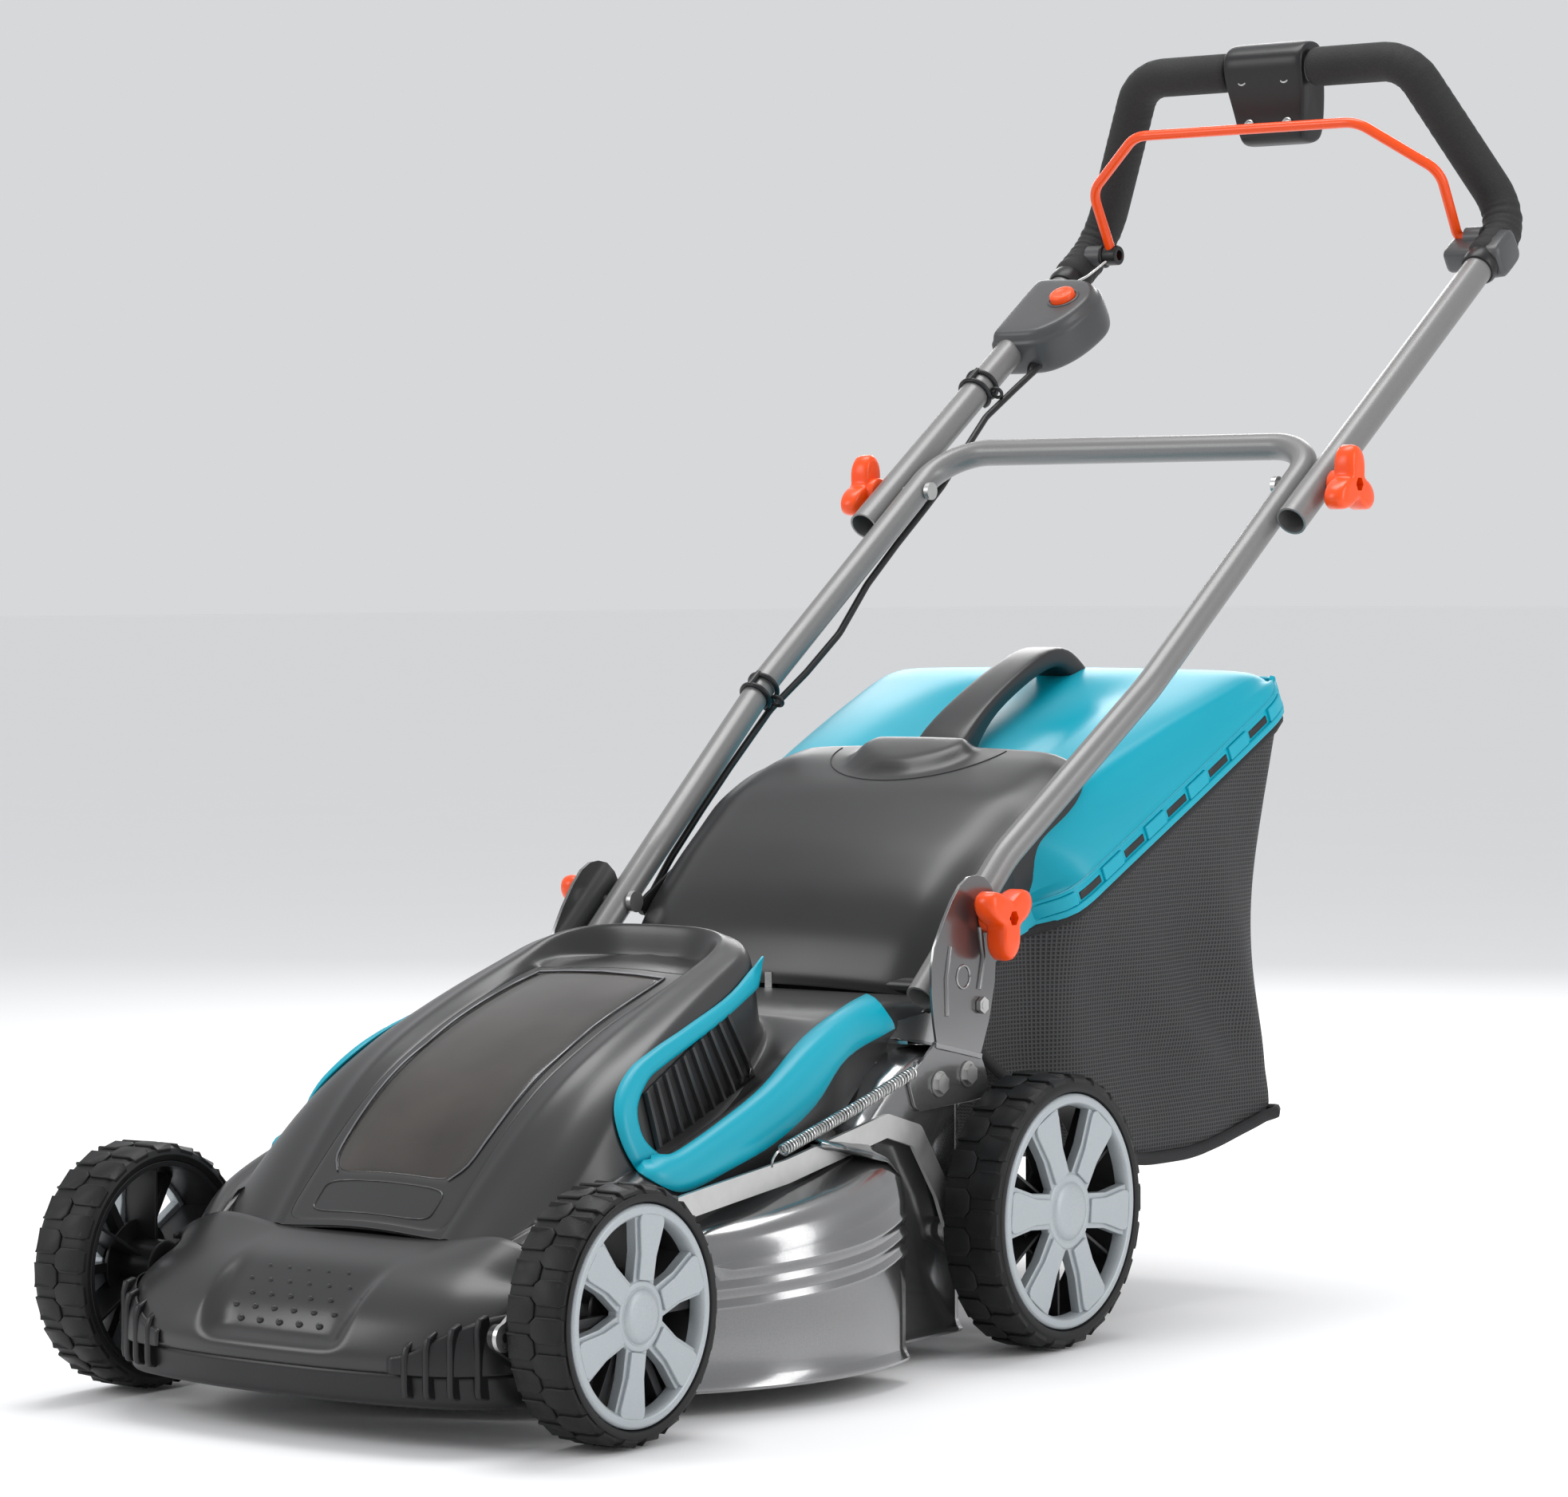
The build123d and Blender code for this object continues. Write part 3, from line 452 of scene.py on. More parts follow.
SHOULDER_HALF = [(-556, 118), (-520, 128), (-470, 129), (-420, 125), (-350, 115), (-290, 104), (-232, 96)]
BASE_HALF = [(-556, 126), (-520, 150), (-470, 156), (-420, 148), (-350, 131), (-290, 118), (-232, 106)]
LEDGE_Z = [(-556, 122), (-545, 128), (-500, 145), (-460, 158), (-425, 168), (-378, 184), (-322, 204),
           (-262, 231), (-201, 246), (-113, 247)]
LEDGE_OUT = [(-556, 140), (-530, 152), (-500, 160), (-430, 163), (-330, 162), (-250, 156), (-190, 144),
             (-113, 140)]
LEDGE_DIP = [(-470, 0), (-430, 6), (-380, 15), (-330, 19), (-290, 17), (-262, 8), (-235, 1), (-200, 0)]
SKIRT_FOOT = [(-556, 104), (-430, 112), (-298, 138), (-238, 172), (-175, 206), (-113, 238)]
WINDOW_HALF = [(-524, 47), (-516, 55), (-490, 58), (-440, 59), (-330, 57), (-304, 54)]
HOOD_ROWS = [-556, -553, -538, -524, -514, -495, -470, -445, -420, -392, -364, -336, -314, -304, -292, -284]
LID_LEFT, LID_RIGHT = 2, 3          # columns of the window's edge and of the lid's edge
BOWL_START = -284


def hood_section(y):
    """Half section of the hood from its middle outward: the points and how far back each may close."""
    lid, ridge = along(LID_LINE, y), along(RIDGE_LINE, y)
    rx, sx, sz = along(RIDGE_HALF, y), along(SHOULDER_HALF, y), along(SHOULDER_LINE, y)
    ledge, out = along(LEDGE_Z, y), along(LEDGE_OUT, y)
    floor_z = ledge - along(LEDGE_DIP, y)
    base_z = along([(-556, 100), (-232, 126)], y)
    foot_x = sx + (along(BASE_HALF, y) - sx) * max(0.0, min(1.0, (sz - floor_z) / max(sz - base_z, 1)))
    foot_x = min(foot_x, out - 12)
    window = along(WINDOW_HALF, max(y, -524))
    rows = [(0, lid + 3.0, -250), (window * 0.55, lid + 2.2, -249), (window, lid + 0.6, -247),
            (67, lid - 0.6 + (ridge - lid) * 0.12, -246), (rx - 7, ridge - 1.5, -243), (rx - 1, ridge, -240),
            (rx + 7, ridge - 3.5, -236), ((rx + sx) / 2 + 5, (ridge + sz) / 2 + 3.5, -233), (sx, sz, -231),
            (sx + (foot_x - sx) * 0.4 + 1.5, sz + (floor_z - sz) * 0.45, -230),
            (foot_x - 0.5, floor_z + min(9, (sz - floor_z) * 0.3), -229.5), (foot_x + 3, floor_z, -228)]
    ledge_rows = [(foot_x + (out - 17 - foot_x) * 0.5, floor_z + (ledge - floor_z) * 0.15), (out - 17, ledge - 2),
                  (out - 13, ledge), (out - 5, ledge - 0.5), (out, ledge - 5), (out + 1, ledge - 14)]
    foot = along(SKIRT_FOOT, y)
    ledge_rows += [(out + 0.5, max(foot + 3, ledge - 30)), (out - 3, foot)]
    return rows, ledge_rows


def hood_rows():
    rows = []
    for y in HOOD_ROWS:
        pod, ledge = hood_section(y)
        rows.append([(x, y, z) for x, z, _ in pod] + [(x, y, z) for x, z in ledge])
    for t in (15, 30, 45, 60, 72, 82, 90):
        y = BOWL_START + 54 * math.sin(math.radians(t))
        narrow = math.cos(math.radians(t)) ** 0.62 if t < 90 else 0.0
        pod, _ = hood_section(BOWL_START)
        _, ledge = hood_section(y)
        lift = math.sin(math.radians(t)) ** 0.8
        line = []
        for x, z, end in pod:
            place = BOWL_START + (end - BOWL_START) * math.sin(math.radians(t)) ** 0.9
            rise = 16 * lift if z > along(RIDGE_LINE, BOWL_START) - 25 and x > 68 else 5 * lift
            line.append((x * narrow, place, z + rise))
        foot = along(LEDGE_Z, y) - along(LEDGE_DIP, y)
        line[-1] = (line[-1][0], line[-1][1], foot)
        line[-2] = (line[-2][0], line[-2][1], foot + 9)
        rows.append(line + [(x if k else (line[-1][0] + ledge[1][0]) / 2, y, z)
                            for k, (x, z) in enumerate(ledge)])
    for y in (-215, -190, -160, -130, -113):
        _, ledge = hood_section(y)
        flat = along(LEDGE_Z, y)
        back = [(0, y, flat)] * 12
        rows.append(back + [(x if k else ledge[1][0] / 2, y, z if k > 1 else flat)
                            for k, (x, z) in enumerate(ledge)])
    return rows


HOOD_GRID = hood_rows()
LID_ROWS = (1, 14)                  # rows of the door's front and rear edges
WINDOW_ROWS = (3, 13)


def hood_part(keep):
    """Both halves of the hood's skin over the cells that keep() takes."""
    form = Form()
    form.grid([[(x, y, z) for x, y, z in row] for row in HOOD_GRID], skip=lambda r, c: not keep(r, c))
    form.add(form.mirrored())
    return form


def in_door(r, c):
    return LID_ROWS[0] <= r < LID_ROWS[1] and c < LID_RIGHT


def in_window(r, c):
    return WINDOW_ROWS[0] <= r < WINDOW_ROWS[1] and c < LID_LEFT


hood = hood_part(lambda r, c: not in_door(r, c)).piece(
    "hood_cover", hood_grey, "deck", "cover_grey", soften=2, wall=2.6, bevel=0.5, sharp=60)
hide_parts("motor_hood", "rear_shelf")
door = hood_part(lambda r, c: in_door(r, c) and not in_window(r, c)).piece(
    "battery_door", hood_grey, "battery_lid", "cover_grey", soften=2, wall=2.6, bevel=0.5, sharp=60)
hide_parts("lid_frame")

smoked = Finish("smoked_window", specular_ior_level=0.55, coat_roughness=0.05, coat_weight=0.5)
haze = smoked.noise(16.0, 5.0)
# The window's side edges are lighter grey and more see-through than its smoked middle; the lighter grey is a painted
# highlight on the bevelled edge.
middle = smoked.band(smoked.maths("ABSOLUTE", smoked.axis("X")), 0.056, 0.040)
warm = smoked.mix(haze, (0.018, 0.014, 0.011), (0.060, 0.048, 0.040))
smoked.feed("Base Color", smoked.mix(middle, (0.070, 0.066, 0.060), warm))
smoked.feed("Alpha", haze * 0.2 + middle * 0.30 + 0.42)
smoked.feed("Roughness", haze * 0.22 + 0.08)
smoked.feed("Normal", smoked.relief(smoked.noise(500.0, 2.0), 0.00005, 0.3))
window = hood_part(in_window).piece("door_window", smoked, "battery_lid", "smoked_window", soften=2, wall=2.0,
                                    bevel=0.6, sharp=60)
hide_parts("lid_window")

# A thin bright bead frames the window, and a rounded panel is pressed into the door in front of it.
bead_line = smooth_line([HOOD_GRID[r][LID_LEFT] for r in range(WINDOW_ROWS[0], WINDOW_ROWS[1] + 1)], 3)
bead_line += [Vector(HOOD_GRID[WINDOW_ROWS[1]][c]) for c in (1, 0)]
for side, sign in (("right", 1), ("left", -1)):
    Form().pipe([(sign * p[0], p[1], p[2] + 0.7) for p in bead_line], 0.75, sides=8).piece(
        "window_bead_" + side, tool_steel, "battery_lid", "smoked_window")


def squared(a, power=0.35):
    """Across and up for a place on a rounded square."""
    return (math.copysign(abs(math.cos(a)) ** power, math.cos(a)),
            math.copysign(abs(math.sin(a)) ** power, math.sin(a)))


door_skin = skin_of(door)
panel_line = []
for n in range(49):
    across, up = squared(2 * math.pi * n / 48)
    panel_line.append(dropped(door_skin, 50 * across, -538.5 + 9.5 * up))
Form().pipe(panel_line, 0.8, sides=8).piece("door_panel_line", hood_grey, "battery_lid", "cover_grey")

# ---- trims and side grilles -----------------------------------------------------------------------------------
# A two-armed turquoise strip is clipped over each side of the hood: the upper arm runs back along the pod,
# the lower one along the ledge's edge. Between them stands a black grille of slanted ribs.
turquoise = moulded("turquoise", (0.0, 0.36, 0.48), roughness=0.36, grain=1000.0, depth=0.00006, coat=0.04,
                    wear=0.04, mottle=0.05)
TRIM_OUTER = [(95, -249, 282), (110, -304, 260), (125, -373, 243), (137, -425, 232), (145, -460, 222),
              (150, -481, 205), (155, -484, 184), (160, -473, 162), (163, -450, 150), (165, -427, 145),
              (165, -383, 154), (165, -333, 167), (160, -280, 187), (153, -233, 215), (148, -169, 230)]
TRIM_INNER = [(98, -259, 262), (112, -316, 246), (125, -373, 232), (134, -412, 223), (140, -437, 215),
              (146, -456, 199), (150, -456, 181), (154, -447, 170), (155, -436, 166), (155, -420, 168),
              (155, -378, 182), (150, -322, 201), (140, -262, 228), (130, -201, 244), (125, -167, 250)]
hood_skin = skin_of(hood)


def on_hood(point, lift):
    """The place where a line from EYE through a point meets the hood, raised by lift, in millimetres."""
    toward = (Vector(point) * MM - EYE).normalized()
    place, normal, _, _ = hood_skin.ray_cast(EYE, toward)
    if place is None or (place / MM - Vector(point)).length > 60:
        return Vector(point)
    if normal.dot(toward) > 0:
        normal = -normal
    return place / MM + normal * lift


outer_line, inner_line = smooth_line(TRIM_OUTER, 5), smooth_line(TRIM_INNER, 5)
trim_form = Form()
trim_form.grid([[on_hood(a.lerp(b, k / 8), 0.3 + 2.6 * min(1, 4 * (k / 8) * (1 - k / 8) * 1.6))
                 for k in range(9)] for a, b in zip(outer_line, inner_line)])
for side, form in (("right", trim_form), ("left", trim_form.mirrored())):
    strip = form.piece("trim_strip_" + side, turquoise, "deck", "turquoise", wall=2.0, bevel=0.6, sharp=50,
                       outward=False)
    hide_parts("trim_" + side)

vent_black = moulded("vent_black", (0.010, 0.010, 0.011), roughness=0.6)
VENT_TOP = ((103, -300, 248), (143, -444, 207))
VENT_FOOT = ((110, -277, 203), (141, -428, 169))


def vent_place(t, k, lift):
    top = Vector(VENT_TOP[0]).lerp(Vector(VENT_TOP[1]), t)
    foot = Vector(VENT_FOOT[0]).lerp(Vector(VENT_FOOT[1]), t)
    return on_hood(top.lerp(foot, k), lift)


vent_form, rib_form = Form(), Form()
vent_form.grid([[vent_place(t / 16, k / 8, 0.5) for k in range(9)] for t in range(17)])
for rib in range(10):
    t = 0.02 + 0.105 * rib
    near = [vent_place(t, k / 8, 1.0) for k in range(9)]
    far = [vent_place(t + 0.036, k / 8, 1.0) for k in range(9)]
    high_a = [vent_place(t + 0.006, k / 8, 4.2) for k in range(9)]
    high_b = [vent_place(t + 0.030, k / 8, 4.2) for k in range(9)]
    rib_form.grid([list(row) for row in zip(near, high_a, high_b, far)], ends=True, wrap=True)
for side, panel, ribs in (("right", vent_form, rib_form), ("left", vent_form.mirrored(), rib_form.mirrored())):
    back = panel.piece("vent_panel_" + side, vent_black, "deck", "black_plastic", wall=1.0, outward=False)
    fins = ribs.piece("vent_ribs_" + side, hood_grey, "deck", "black_plastic", bevel=0.4)
    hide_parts("grille_" + side)

# ---- nose, bumper ribs and undertray -----------------------------------------------------------------------------
# The nose is a separate grey moulding with a dimpled grab recess in front and raised rubbing ribs round both
# corners. A black tray closes it underneath.
NOSE_FRONT = [(0, -649), (40, -648), (70, -645), (100, -640), (128, -632), (146, -620), (157, -605), (163, -588)]
NOSE_X = [0, 12, 24, 36, 48, 56, 62, 66, 70, 74, 80, 90, 104, 118, 128, 136, 144, 151, 157, 161, 163.5]


def smoothstep(value, low, high):
    t = max(0.0, min(1.0, (value - low) / (high - low)))
    return t * t * (3 - 2 * t)


def grab_depth(x, z):
    """How far the grab recess sinks behind the nose's face."""
    half = 52 + 0.22 * (z - 60)
    return 10.0 * smoothstep(half - abs(x), -5, 4) * smoothstep(z, 59, 64) * smoothstep(113 - z, 0, 20)


def nose_section(x):
    front = along(NOSE_FRONT, x)
    droop = smoothstep(x, 110, 163)
    rear_z = along([(0, 119), (66, 119), (80, 121), (100, 124), (125, 126), (150, 124), (163, 112)], x)
    shape = [(front + 26, 47), (front + 3, 46.5), (front + 0.6, 48.5), (front, 53), (front + 0.4, 58)]
    shape += [(front + 1.2, 61), (front + 2.4, 64.5), (front + 4.4, 69), (front + 7.4, 74.5), (front + 11.5, 80.5)]
    shape += [(front + 16.5, 86), (front + 22.5, 91.5), (front + 30, 97), (front + 39, 102), (front + 49, 106.5)]
    shape += [(front + 49 + (-556 - front - 49) * k, 106.5 + (rear_z - 106.5) * k ** 0.9) for k in (0.35, 0.7, 1)]
    shape = [(y + grab_depth(x, z), z - droop * 0.28 * max(0, z - 80)) for y, z in shape]
    return [(x, y, z) for y, z in shape]


nose_rows = [nose_section(x) for x in NOSE_X]
nose_rows.append([(164, max(y, -588) if k else y, z) for k, (x, y, z) in enumerate(nose_rows[-1])])
nose_form = Form().grid(nose_rows)
nose_form.add(nose_form.mirrored())
nose = nose_form.piece("nose_shell", hood_grey, "deck", "cover_grey", soften=1, wall=2.6, bevel=0.5, sharp=60)
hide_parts("nose_cover")

dimple_form = Form()
NOSE_FACE = [(58, 0.4), (64.5, 2.4), (69, 4.4), (74.5, 7.4), (80.5, 11.5), (86, 16.5), (91.5, 22.5), (97, 30),
             (102, 39)]
for row in range(5):
    z, radius = 70 + 7.6 * row, 2.7 - 0.32 * row
    for k in range(-3, 4):
        x = 16.5 * k + (8.2 if row % 2 else 0)
        if abs(x) < 46:
            y = along(NOSE_FRONT, abs(x)) + along(NOSE_FACE, z) + grab_depth(x, z) * 0.97
            dimple_form.grid([[(x + radius * math.cos(a) * math.cos(b), y + 0.9 - radius * math.sin(a) * 0.9,
                                z + radius * math.cos(a) * math.sin(b) + radius * 0.4 * math.sin(a))
                               for b in (math.pi * n / 7 for n in range(14))]
                              for a in (math.pi * n / 10 for n in range(5))], wrap=True, ends=True)
dimple_form.piece("grab_dimples", hood_grey, "deck", "cover_grey")

corner_form, rib_form = Form(), Form()
corner_rows = []
for x in (96, 104, 112, 120, 128, 136, 143, 149, 154, 158, 161, 163.4):
    front, top = along(NOSE_FRONT, x) - 0.9, 58 + 26 * smoothstep(x, 96, 160)
    corner_rows.append([(x, front + 0.5 * (z - 53) * (z > 53) * 0.16 + 14 * smoothstep(z, 64, 100), z)
                        for z in (47.5, 50, 53, 53 + (top - 53) * 0.3, 53 + (top - 53) * 0.6, top - 1, top)])
    corner_rows[-1][-1] = (x, corner_rows[-1][-1][1] + 3, top)
corner_form.grid(corner_rows)
for k, x in enumerate((108, 122, 136, 149)):
    front = along(NOSE_FRONT, x)
    side_line = [(front + 12, 31), (front - 1.4, 33), (front - 2.8, 38), (front - 2.8, 58 + 6 * k),
                 (front - 0.4, 65 + 6 * k), (front + 8, 70 + 5 * k), (front + 12, 66)]
    rib_form.slab(side_line, x - 2.3, x + 2.3)
corner_form.add(corner_form.mirrored())
corner_form.piece("bumper_corners", black_plastic, "deck", "black_plastic", wall=1.0, soften=1, outward=False)
rib_form.add(rib_form.mirrored())
rib_form.piece("bumper_ribs", black_plastic, "deck", "black_plastic", bevel=1.3)

tray_form = Form()
tray_rows = []
for x in NOSE_X:
    front = along(NOSE_FRONT, x)
    tray_rows.append([(x, -575, 24), (x, front + 30, 24), (x, front + 9, 25), (x, front + 5, 28),
                      (x, front + 4, 34), (x, front + 3, 40), (x, front + 2.5, 47.5)])
tray_form.grid(tray_rows)
tray_form.add(tray_form.mirrored())
tray = tray_form.piece("nose_tray", black_plastic, "deck", "black_plastic", wall=2.2, soften=1)
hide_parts("undertray")

# ---- wheels ----------------------------------------------------------------------------------------------------
# Each wheel is a black ribbed moulding with a soft tyre pressed on, staggered lugs on its tread, and a
# silver six-spoke cover snapped to the outside.
tyre_rubber = moulded("tyre_rubber", (0.007, 0.007, 0.0075), roughness=0.50, grain=700.0, depth=0.0002, wear=0.05)
wheel_silver = Finish("speckled_silver", coat_roughness=0.2)
speck = wheel_silver.noise(3200.0, 1.0)
wheel_silver.feed("Base Color", wheel_silver.mix(speck, (0.25, 0.28, 0.30), (0.58, 0.62, 0.64)))
wheel_silver.feed("Metallic", speck * 0.3 + 0.25)
wheel_silver.feed("Roughness", wheel_silver.noise(30.0) * 0.2 + 0.36)
wheel_silver.feed("Normal", wheel_silver.relief(speck, 0.0001, 0.5))
tyre_rubber.shader.inputs["Specular IOR Level"].default_value = 0.3
WHEELS = {"front": ((-548, 82.5), 82.5, 80), "rear": ((-60, 97), 97.0, 55)}
LUGS = 22
RIM_SHARE = 0.852                   # where the tyre meets the wheel, as a share of the tyre's radius


def polar(centre, radius, angle):
    return centre[0] + radius * math.cos(math.radians(angle)), centre[1] + radius * math.sin(math.radians(angle))


def tyre_form(centre, radius):
    rim, tread = radius * RIM_SHARE, radius - 2.6
    form = Form().spun([(179, rim), (178, rim + 3), (177.6, tread - 6), (179.5, tread - 1.5), (184, tread),
                        (217, tread), (221, tread - 1.5), (223.4, tread - 6), (223.6, rim + 6), (224.2, rim + 4.5),
                        (223.4, rim + 1), (221, rim)], centre, 96)
    pitch = 360 / LUGS
    for lug in range(LUGS):
        for x_in, x_out, turn in ((199.5, 222.6, 0), (201.5, 178.4, pitch / 2)):
            a = lug * pitch + turn
            wide = pitch * 0.36
            plan = [(x_in, a - wide * 0.55), (x_in, a + wide * 0.55), (x_in + (x_out - x_in) * 0.18, a + wide),
                    (x_out - (x_out - x_in) * 0.1, a + wide), (x_out, a + wide * 0.8), (x_out, a - wide * 0.8),
                    (x_out - (x_out - x_in) * 0.1, a - wide), (x_in + (x_out - x_in) * 0.18, a - wide)]
            rows, middle = [], (x_in + x_out) / 2
            for height, shrink in ((-1.5, 1.0), (1.3, 1.0), (1.9, 0.9)):
                rows.append([((x - middle) * shrink + middle,
                              *polar(centre, tread + height - (3.0 if abs(x - 201) > 20.5 else 0),
                                     a + (b - a) * shrink)) for x, b in plan])
            form.grid(rows, wrap=True, ends=True)
    return form


def cover_form(centre, radius, turn):
    rim = radius * RIM_SHARE
    form = Form().spun([(213, rim - 0.4), (222.3, rim - 0.4), (224, rim - 2.2), (224, rim - 6.5), (221.5, rim - 8.5),
                        (213, rim - 9)], centre, 96)
    form.spun([(214, 0.01), (214, radius * 0.28), (220.5, radius * 0.285), (222.4, radius * 0.265),
               (222.5, radius * 0.225), (221.6, radius * 0.215), (223.8, radius * 0.195), (224.8, radius * 0.15),
               (224.8, 0.01)], centre, 48)
    for spoke in range(6):
        a = math.radians(turn + 60 * spoke)
        along_y, along_z = math.cos(a), math.sin(a)

        def place(out, side):
            return centre[0] + out * along_y - side * along_z, centre[1] + out * along_z + side * along_y
        half = [(0.14, 0.125), (0.48, 0.13), (0.80, 0.20)]
        bar = [(out * radius, -wide * radius) for out, wide in half]
        bar += [(out, -side) for out, side in reversed(bar)]
        form.slab([place(*p) for p in bar], 214, 221.5)
        pad = [(0.27, 0.088), (0.46, 0.095), (0.70, 0.148), (0.745, 0.145), (0.77, 0.115)]
        pad = [(out * radius, -wide * radius) for out, wide in pad]
        pad += [(out, -side) for out, side in reversed(pad)]
        form.slab([place(*p) for p in pad], 220, 223.8)
    return form


def core_form(centre, radius):
    rim = radius * RIM_SHARE
    form = Form().spun([(179, rim - 0.3), (179, rim - 4), (212.5, rim - 6.5), (212.5, rim - 0.3)], centre, 96)
    form.spun([(176.6, 6.2), (176.6, 15), (178, 17), (213.5, 18), (213.5, 6.2)], centre, 32)
    form.spun([(203, 17), (203, radius * 0.36), (205.5, radius * 0.36), (205.5, 17)], centre, 48)
    for fin in range(12):
        a = 30 * fin
        inner, outer = polar(centre, 14, a), polar(centre, rim - 4, a)
        side = Vector((-(outer[1] - inner[1]), outer[0] - inner[0])).normalized() * (1.2 if fin % 2 else 3.2)
        form.slab([(inner[0] + side.x, inner[1] + side.y), (outer[0] + side.x, outer[1] + side.y),
                   (outer[0] - side.x, outer[1] - side.y), (inner[0] - side.x, inner[1] - side.y)],
                  186 if fin % 2 else 204, 213)
    return form


for end, (centre, radius, turn) in WHEELS.items():
    for side in ("right", "left"):
        body = f"{end}_{side}_wheel"
        made = [tyre_form(centre, radius), cover_form(centre, radius, turn), core_form(centre, radius)]
        if side == "left":
            made = [form.mirrored() for form in made]
        ring = made[0].piece(f"{end}_{side}_tyre_ring", tyre_rubber, body, "tyre_black", bevel=0.5, sharp=40)
        face = made[1].piece(f"{end}_{side}_cover", wheel_silver, body, "wheel_silver", bevel=0.9, sharp=40)
        made[2].piece(f"{end}_{side}_core", black_plastic, body, "tyre_black", bevel=0.4, sharp=40)
        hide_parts(f"{end}_{side}_tyre")
        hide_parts(f"{end}_{side}_wheel")

# ---- counterbalance spring -----------------------------------------------------------------------------------
# A close-wound tension spring of plated wire is hooked between the deck and the bracket, above the link.
SPRING_FRONT, SPRING_REAR = (181.5, -344, 163.5), (181.5, -192, 203)
spring_form = Form()
spring_path = smooth_line([SPRING_FRONT, (181.5, -270, 182), SPRING_REAR], 160)
coil = []
for k, p in enumerate(spring_path):
    ahead = (spring_path[min(k + 1, len(spring_path) - 1)] - spring_path[max(k - 1, 0)]).normalized()
    up = Vector((1, 0, 0)).cross(ahead)
    a = 2 * math.pi * k / 6.3
    coil.append(p + (Vector((1, 0, 0)) * math.cos(a) + up * math.sin(a)) * 3.5)
spring_form.pipe(smooth_line(coil, 2), 0.85, sides=6)
spring_form.pipe(smooth_line([SPRING_FRONT, (182, -350, 163), (181, -354, 158), (179, -352, 153.5)], 5),
                 0.85, sides=8)
spring_form.pipe(smooth_line([SPRING_REAR, (180, -186, 207), (174, -180, 208), (170.5, -176, 205)], 5),
                 0.85, sides=8)
spring = spring_form.piece("coil_spring", zinc, "deck", "zinc")
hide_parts("counter_spring")
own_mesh(spring)

# ---- handle brackets ---------------------------------------------------------------------------------------------
# Pressed plates with a rounded ear stand on each side of the deck; a long rib and a round boss stiffen them.
bracket_paint = lacquered("bracket_lacquer", (0.12, 0.12, 0.122), metallic=0.75, roughness=0.22)
EAR = [(-144, 214), (-148, 232), (-151, 252), (-151, 270), (-148, 284), (-138, 300), (-126, 316), (-116, 326),
       (-106, 331), (-96, 332), (-86, 330), (-77, 323), (-71, 313), (-70, 300), (-71, 280), (-73, 256),
       (-80, 230), (-92, 204)]
FOOT = [(-176, 200), (-177, 192), (-171, 177), (-165, 173), (-100, 174.5), (-84, 176), (-79, 181), (-84, 196),
        (-90, 207), (-144, 219.5), (-160, 208)]


def bracket_form():
    form = Form().slab(EAR, 166.2, 168.6)
    form.slab(FOOT, 165.1, 167.8)
    form.slab([(-146, 215), (-146, 219), (-89, 207), (-90, 203)], 165.2, 168.9)
    form.pipe([(168.4, -94, 252), (168.4, -88, 275), (168.4, -92, 296)], 2.4)
    form.pipe([(168.4, -133, 236), (168.4, -134, 262), (168.4, -129, 284)], 2.0)
    form.pipe([(168.6, -113 + 8 * math.cos(a), 262 + 8 * math.sin(a)) for a in
               (2 * math.pi * n / 24 for n in range(25))], 1.0, sides=8)
    return form


for side in ("right", "left"):
    form = bracket_form() if side == "right" else bracket_form().mirrored()
    plate = form.piece("bracket_plate_" + side, bracket_paint, "deck", "bracket_steel", bevel=0.5)
    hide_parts("bracket_" + side)

# ---- rear flap ---------------------------------------------------------------------------------------------------
# A black moulded flap closes the outlet: a curved sheet with a turned-down wing on each side, a raised
# finger bump near its rear edge and two long knuckles on the hinge rod.
flap_black = moulded("flap_black", (0.015, 0.015, 0.0155), roughness=0.34, grain=1000.0, depth=0.00006, coat=0.25,
                     wear=0.03)
FLAP_SIDE = [(-112, 250), (-110, 262), (-100, 285), (-88, 303), (-75, 318), (-56, 335), (-36, 351), (-10, 369),
             (15, 385), (41, 397), (66, 407), (88, 414)]
FLAP_HALF = [(-112, 132), (-100, 136), (-60, 138), (-20, 141), (20, 146), (62, 147), (90, 138)]


def flap_bump(x, y):
    lifted = smoothstep(1 - ((x / 50) ** 2 + ((y - 70) / 34) ** 2), 0, 0.22)
    return (7.5 + 0.06 * (y - 40)) * lifted * smoothstep(94 - y, 0, 14)


flap_rows = []
for p in smooth_line([(0, y, z) for y, z in FLAP_SIDE], 4):
    half = along(FLAP_HALF, p.y)
    wing = 26 * smoothstep(p.y, -60, 0) * smoothstep(96 - p.y, 0, 24)
    row = []
    for share in (0, 0.1, 0.18, 0.24, 0.28, 0.32, 0.36, 0.4, 0.5, 0.6, 0.72, 0.82, 0.9, 0.95, 0.985, 1.0):
        x = half * share
        drop = 6 * share ** 2 + 12 * smoothstep(share, 0.78, 1.0)
        row.append((x, p.y + drop * 0.35, p.z - drop * 0.8 + flap_bump(x, p.y)))
    x, y, z = row[-1]
    row += [(x + 0.8, y + 0.5, z - 5 - wing * 0.3), (x + 0.8, y + 1, z - 7 - wing),
            (x + 0.4, y + 1, z - 9 - wing * 1.7)]
    flap_rows.append(row)
flap_form = Form().grid(flap_rows)
wing_rows = []
for u in (18, 30, 45, 60, 75, 88, 97):
    foot = 24 + 8 * smoothstep(u, 60, 97)
    wing_rows.append([(142.2, -70 + u * 0.887 - w * 0.462, 247 + u * 0.462 + w * 0.887) for w in
                      (foot, foot + 6, 40, 48, 54)])
flap_form.grid(wing_rows)
flap_form.add(flap_form.mirrored())
flap_sheet = flap_form.piece("flap_sheet", flap_black, "flap", "flap_black", wall=2.4, soften=1, bevel=0.5, sharp=60)
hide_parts("flap")
flap_skin = skin_of(flap_sheet)
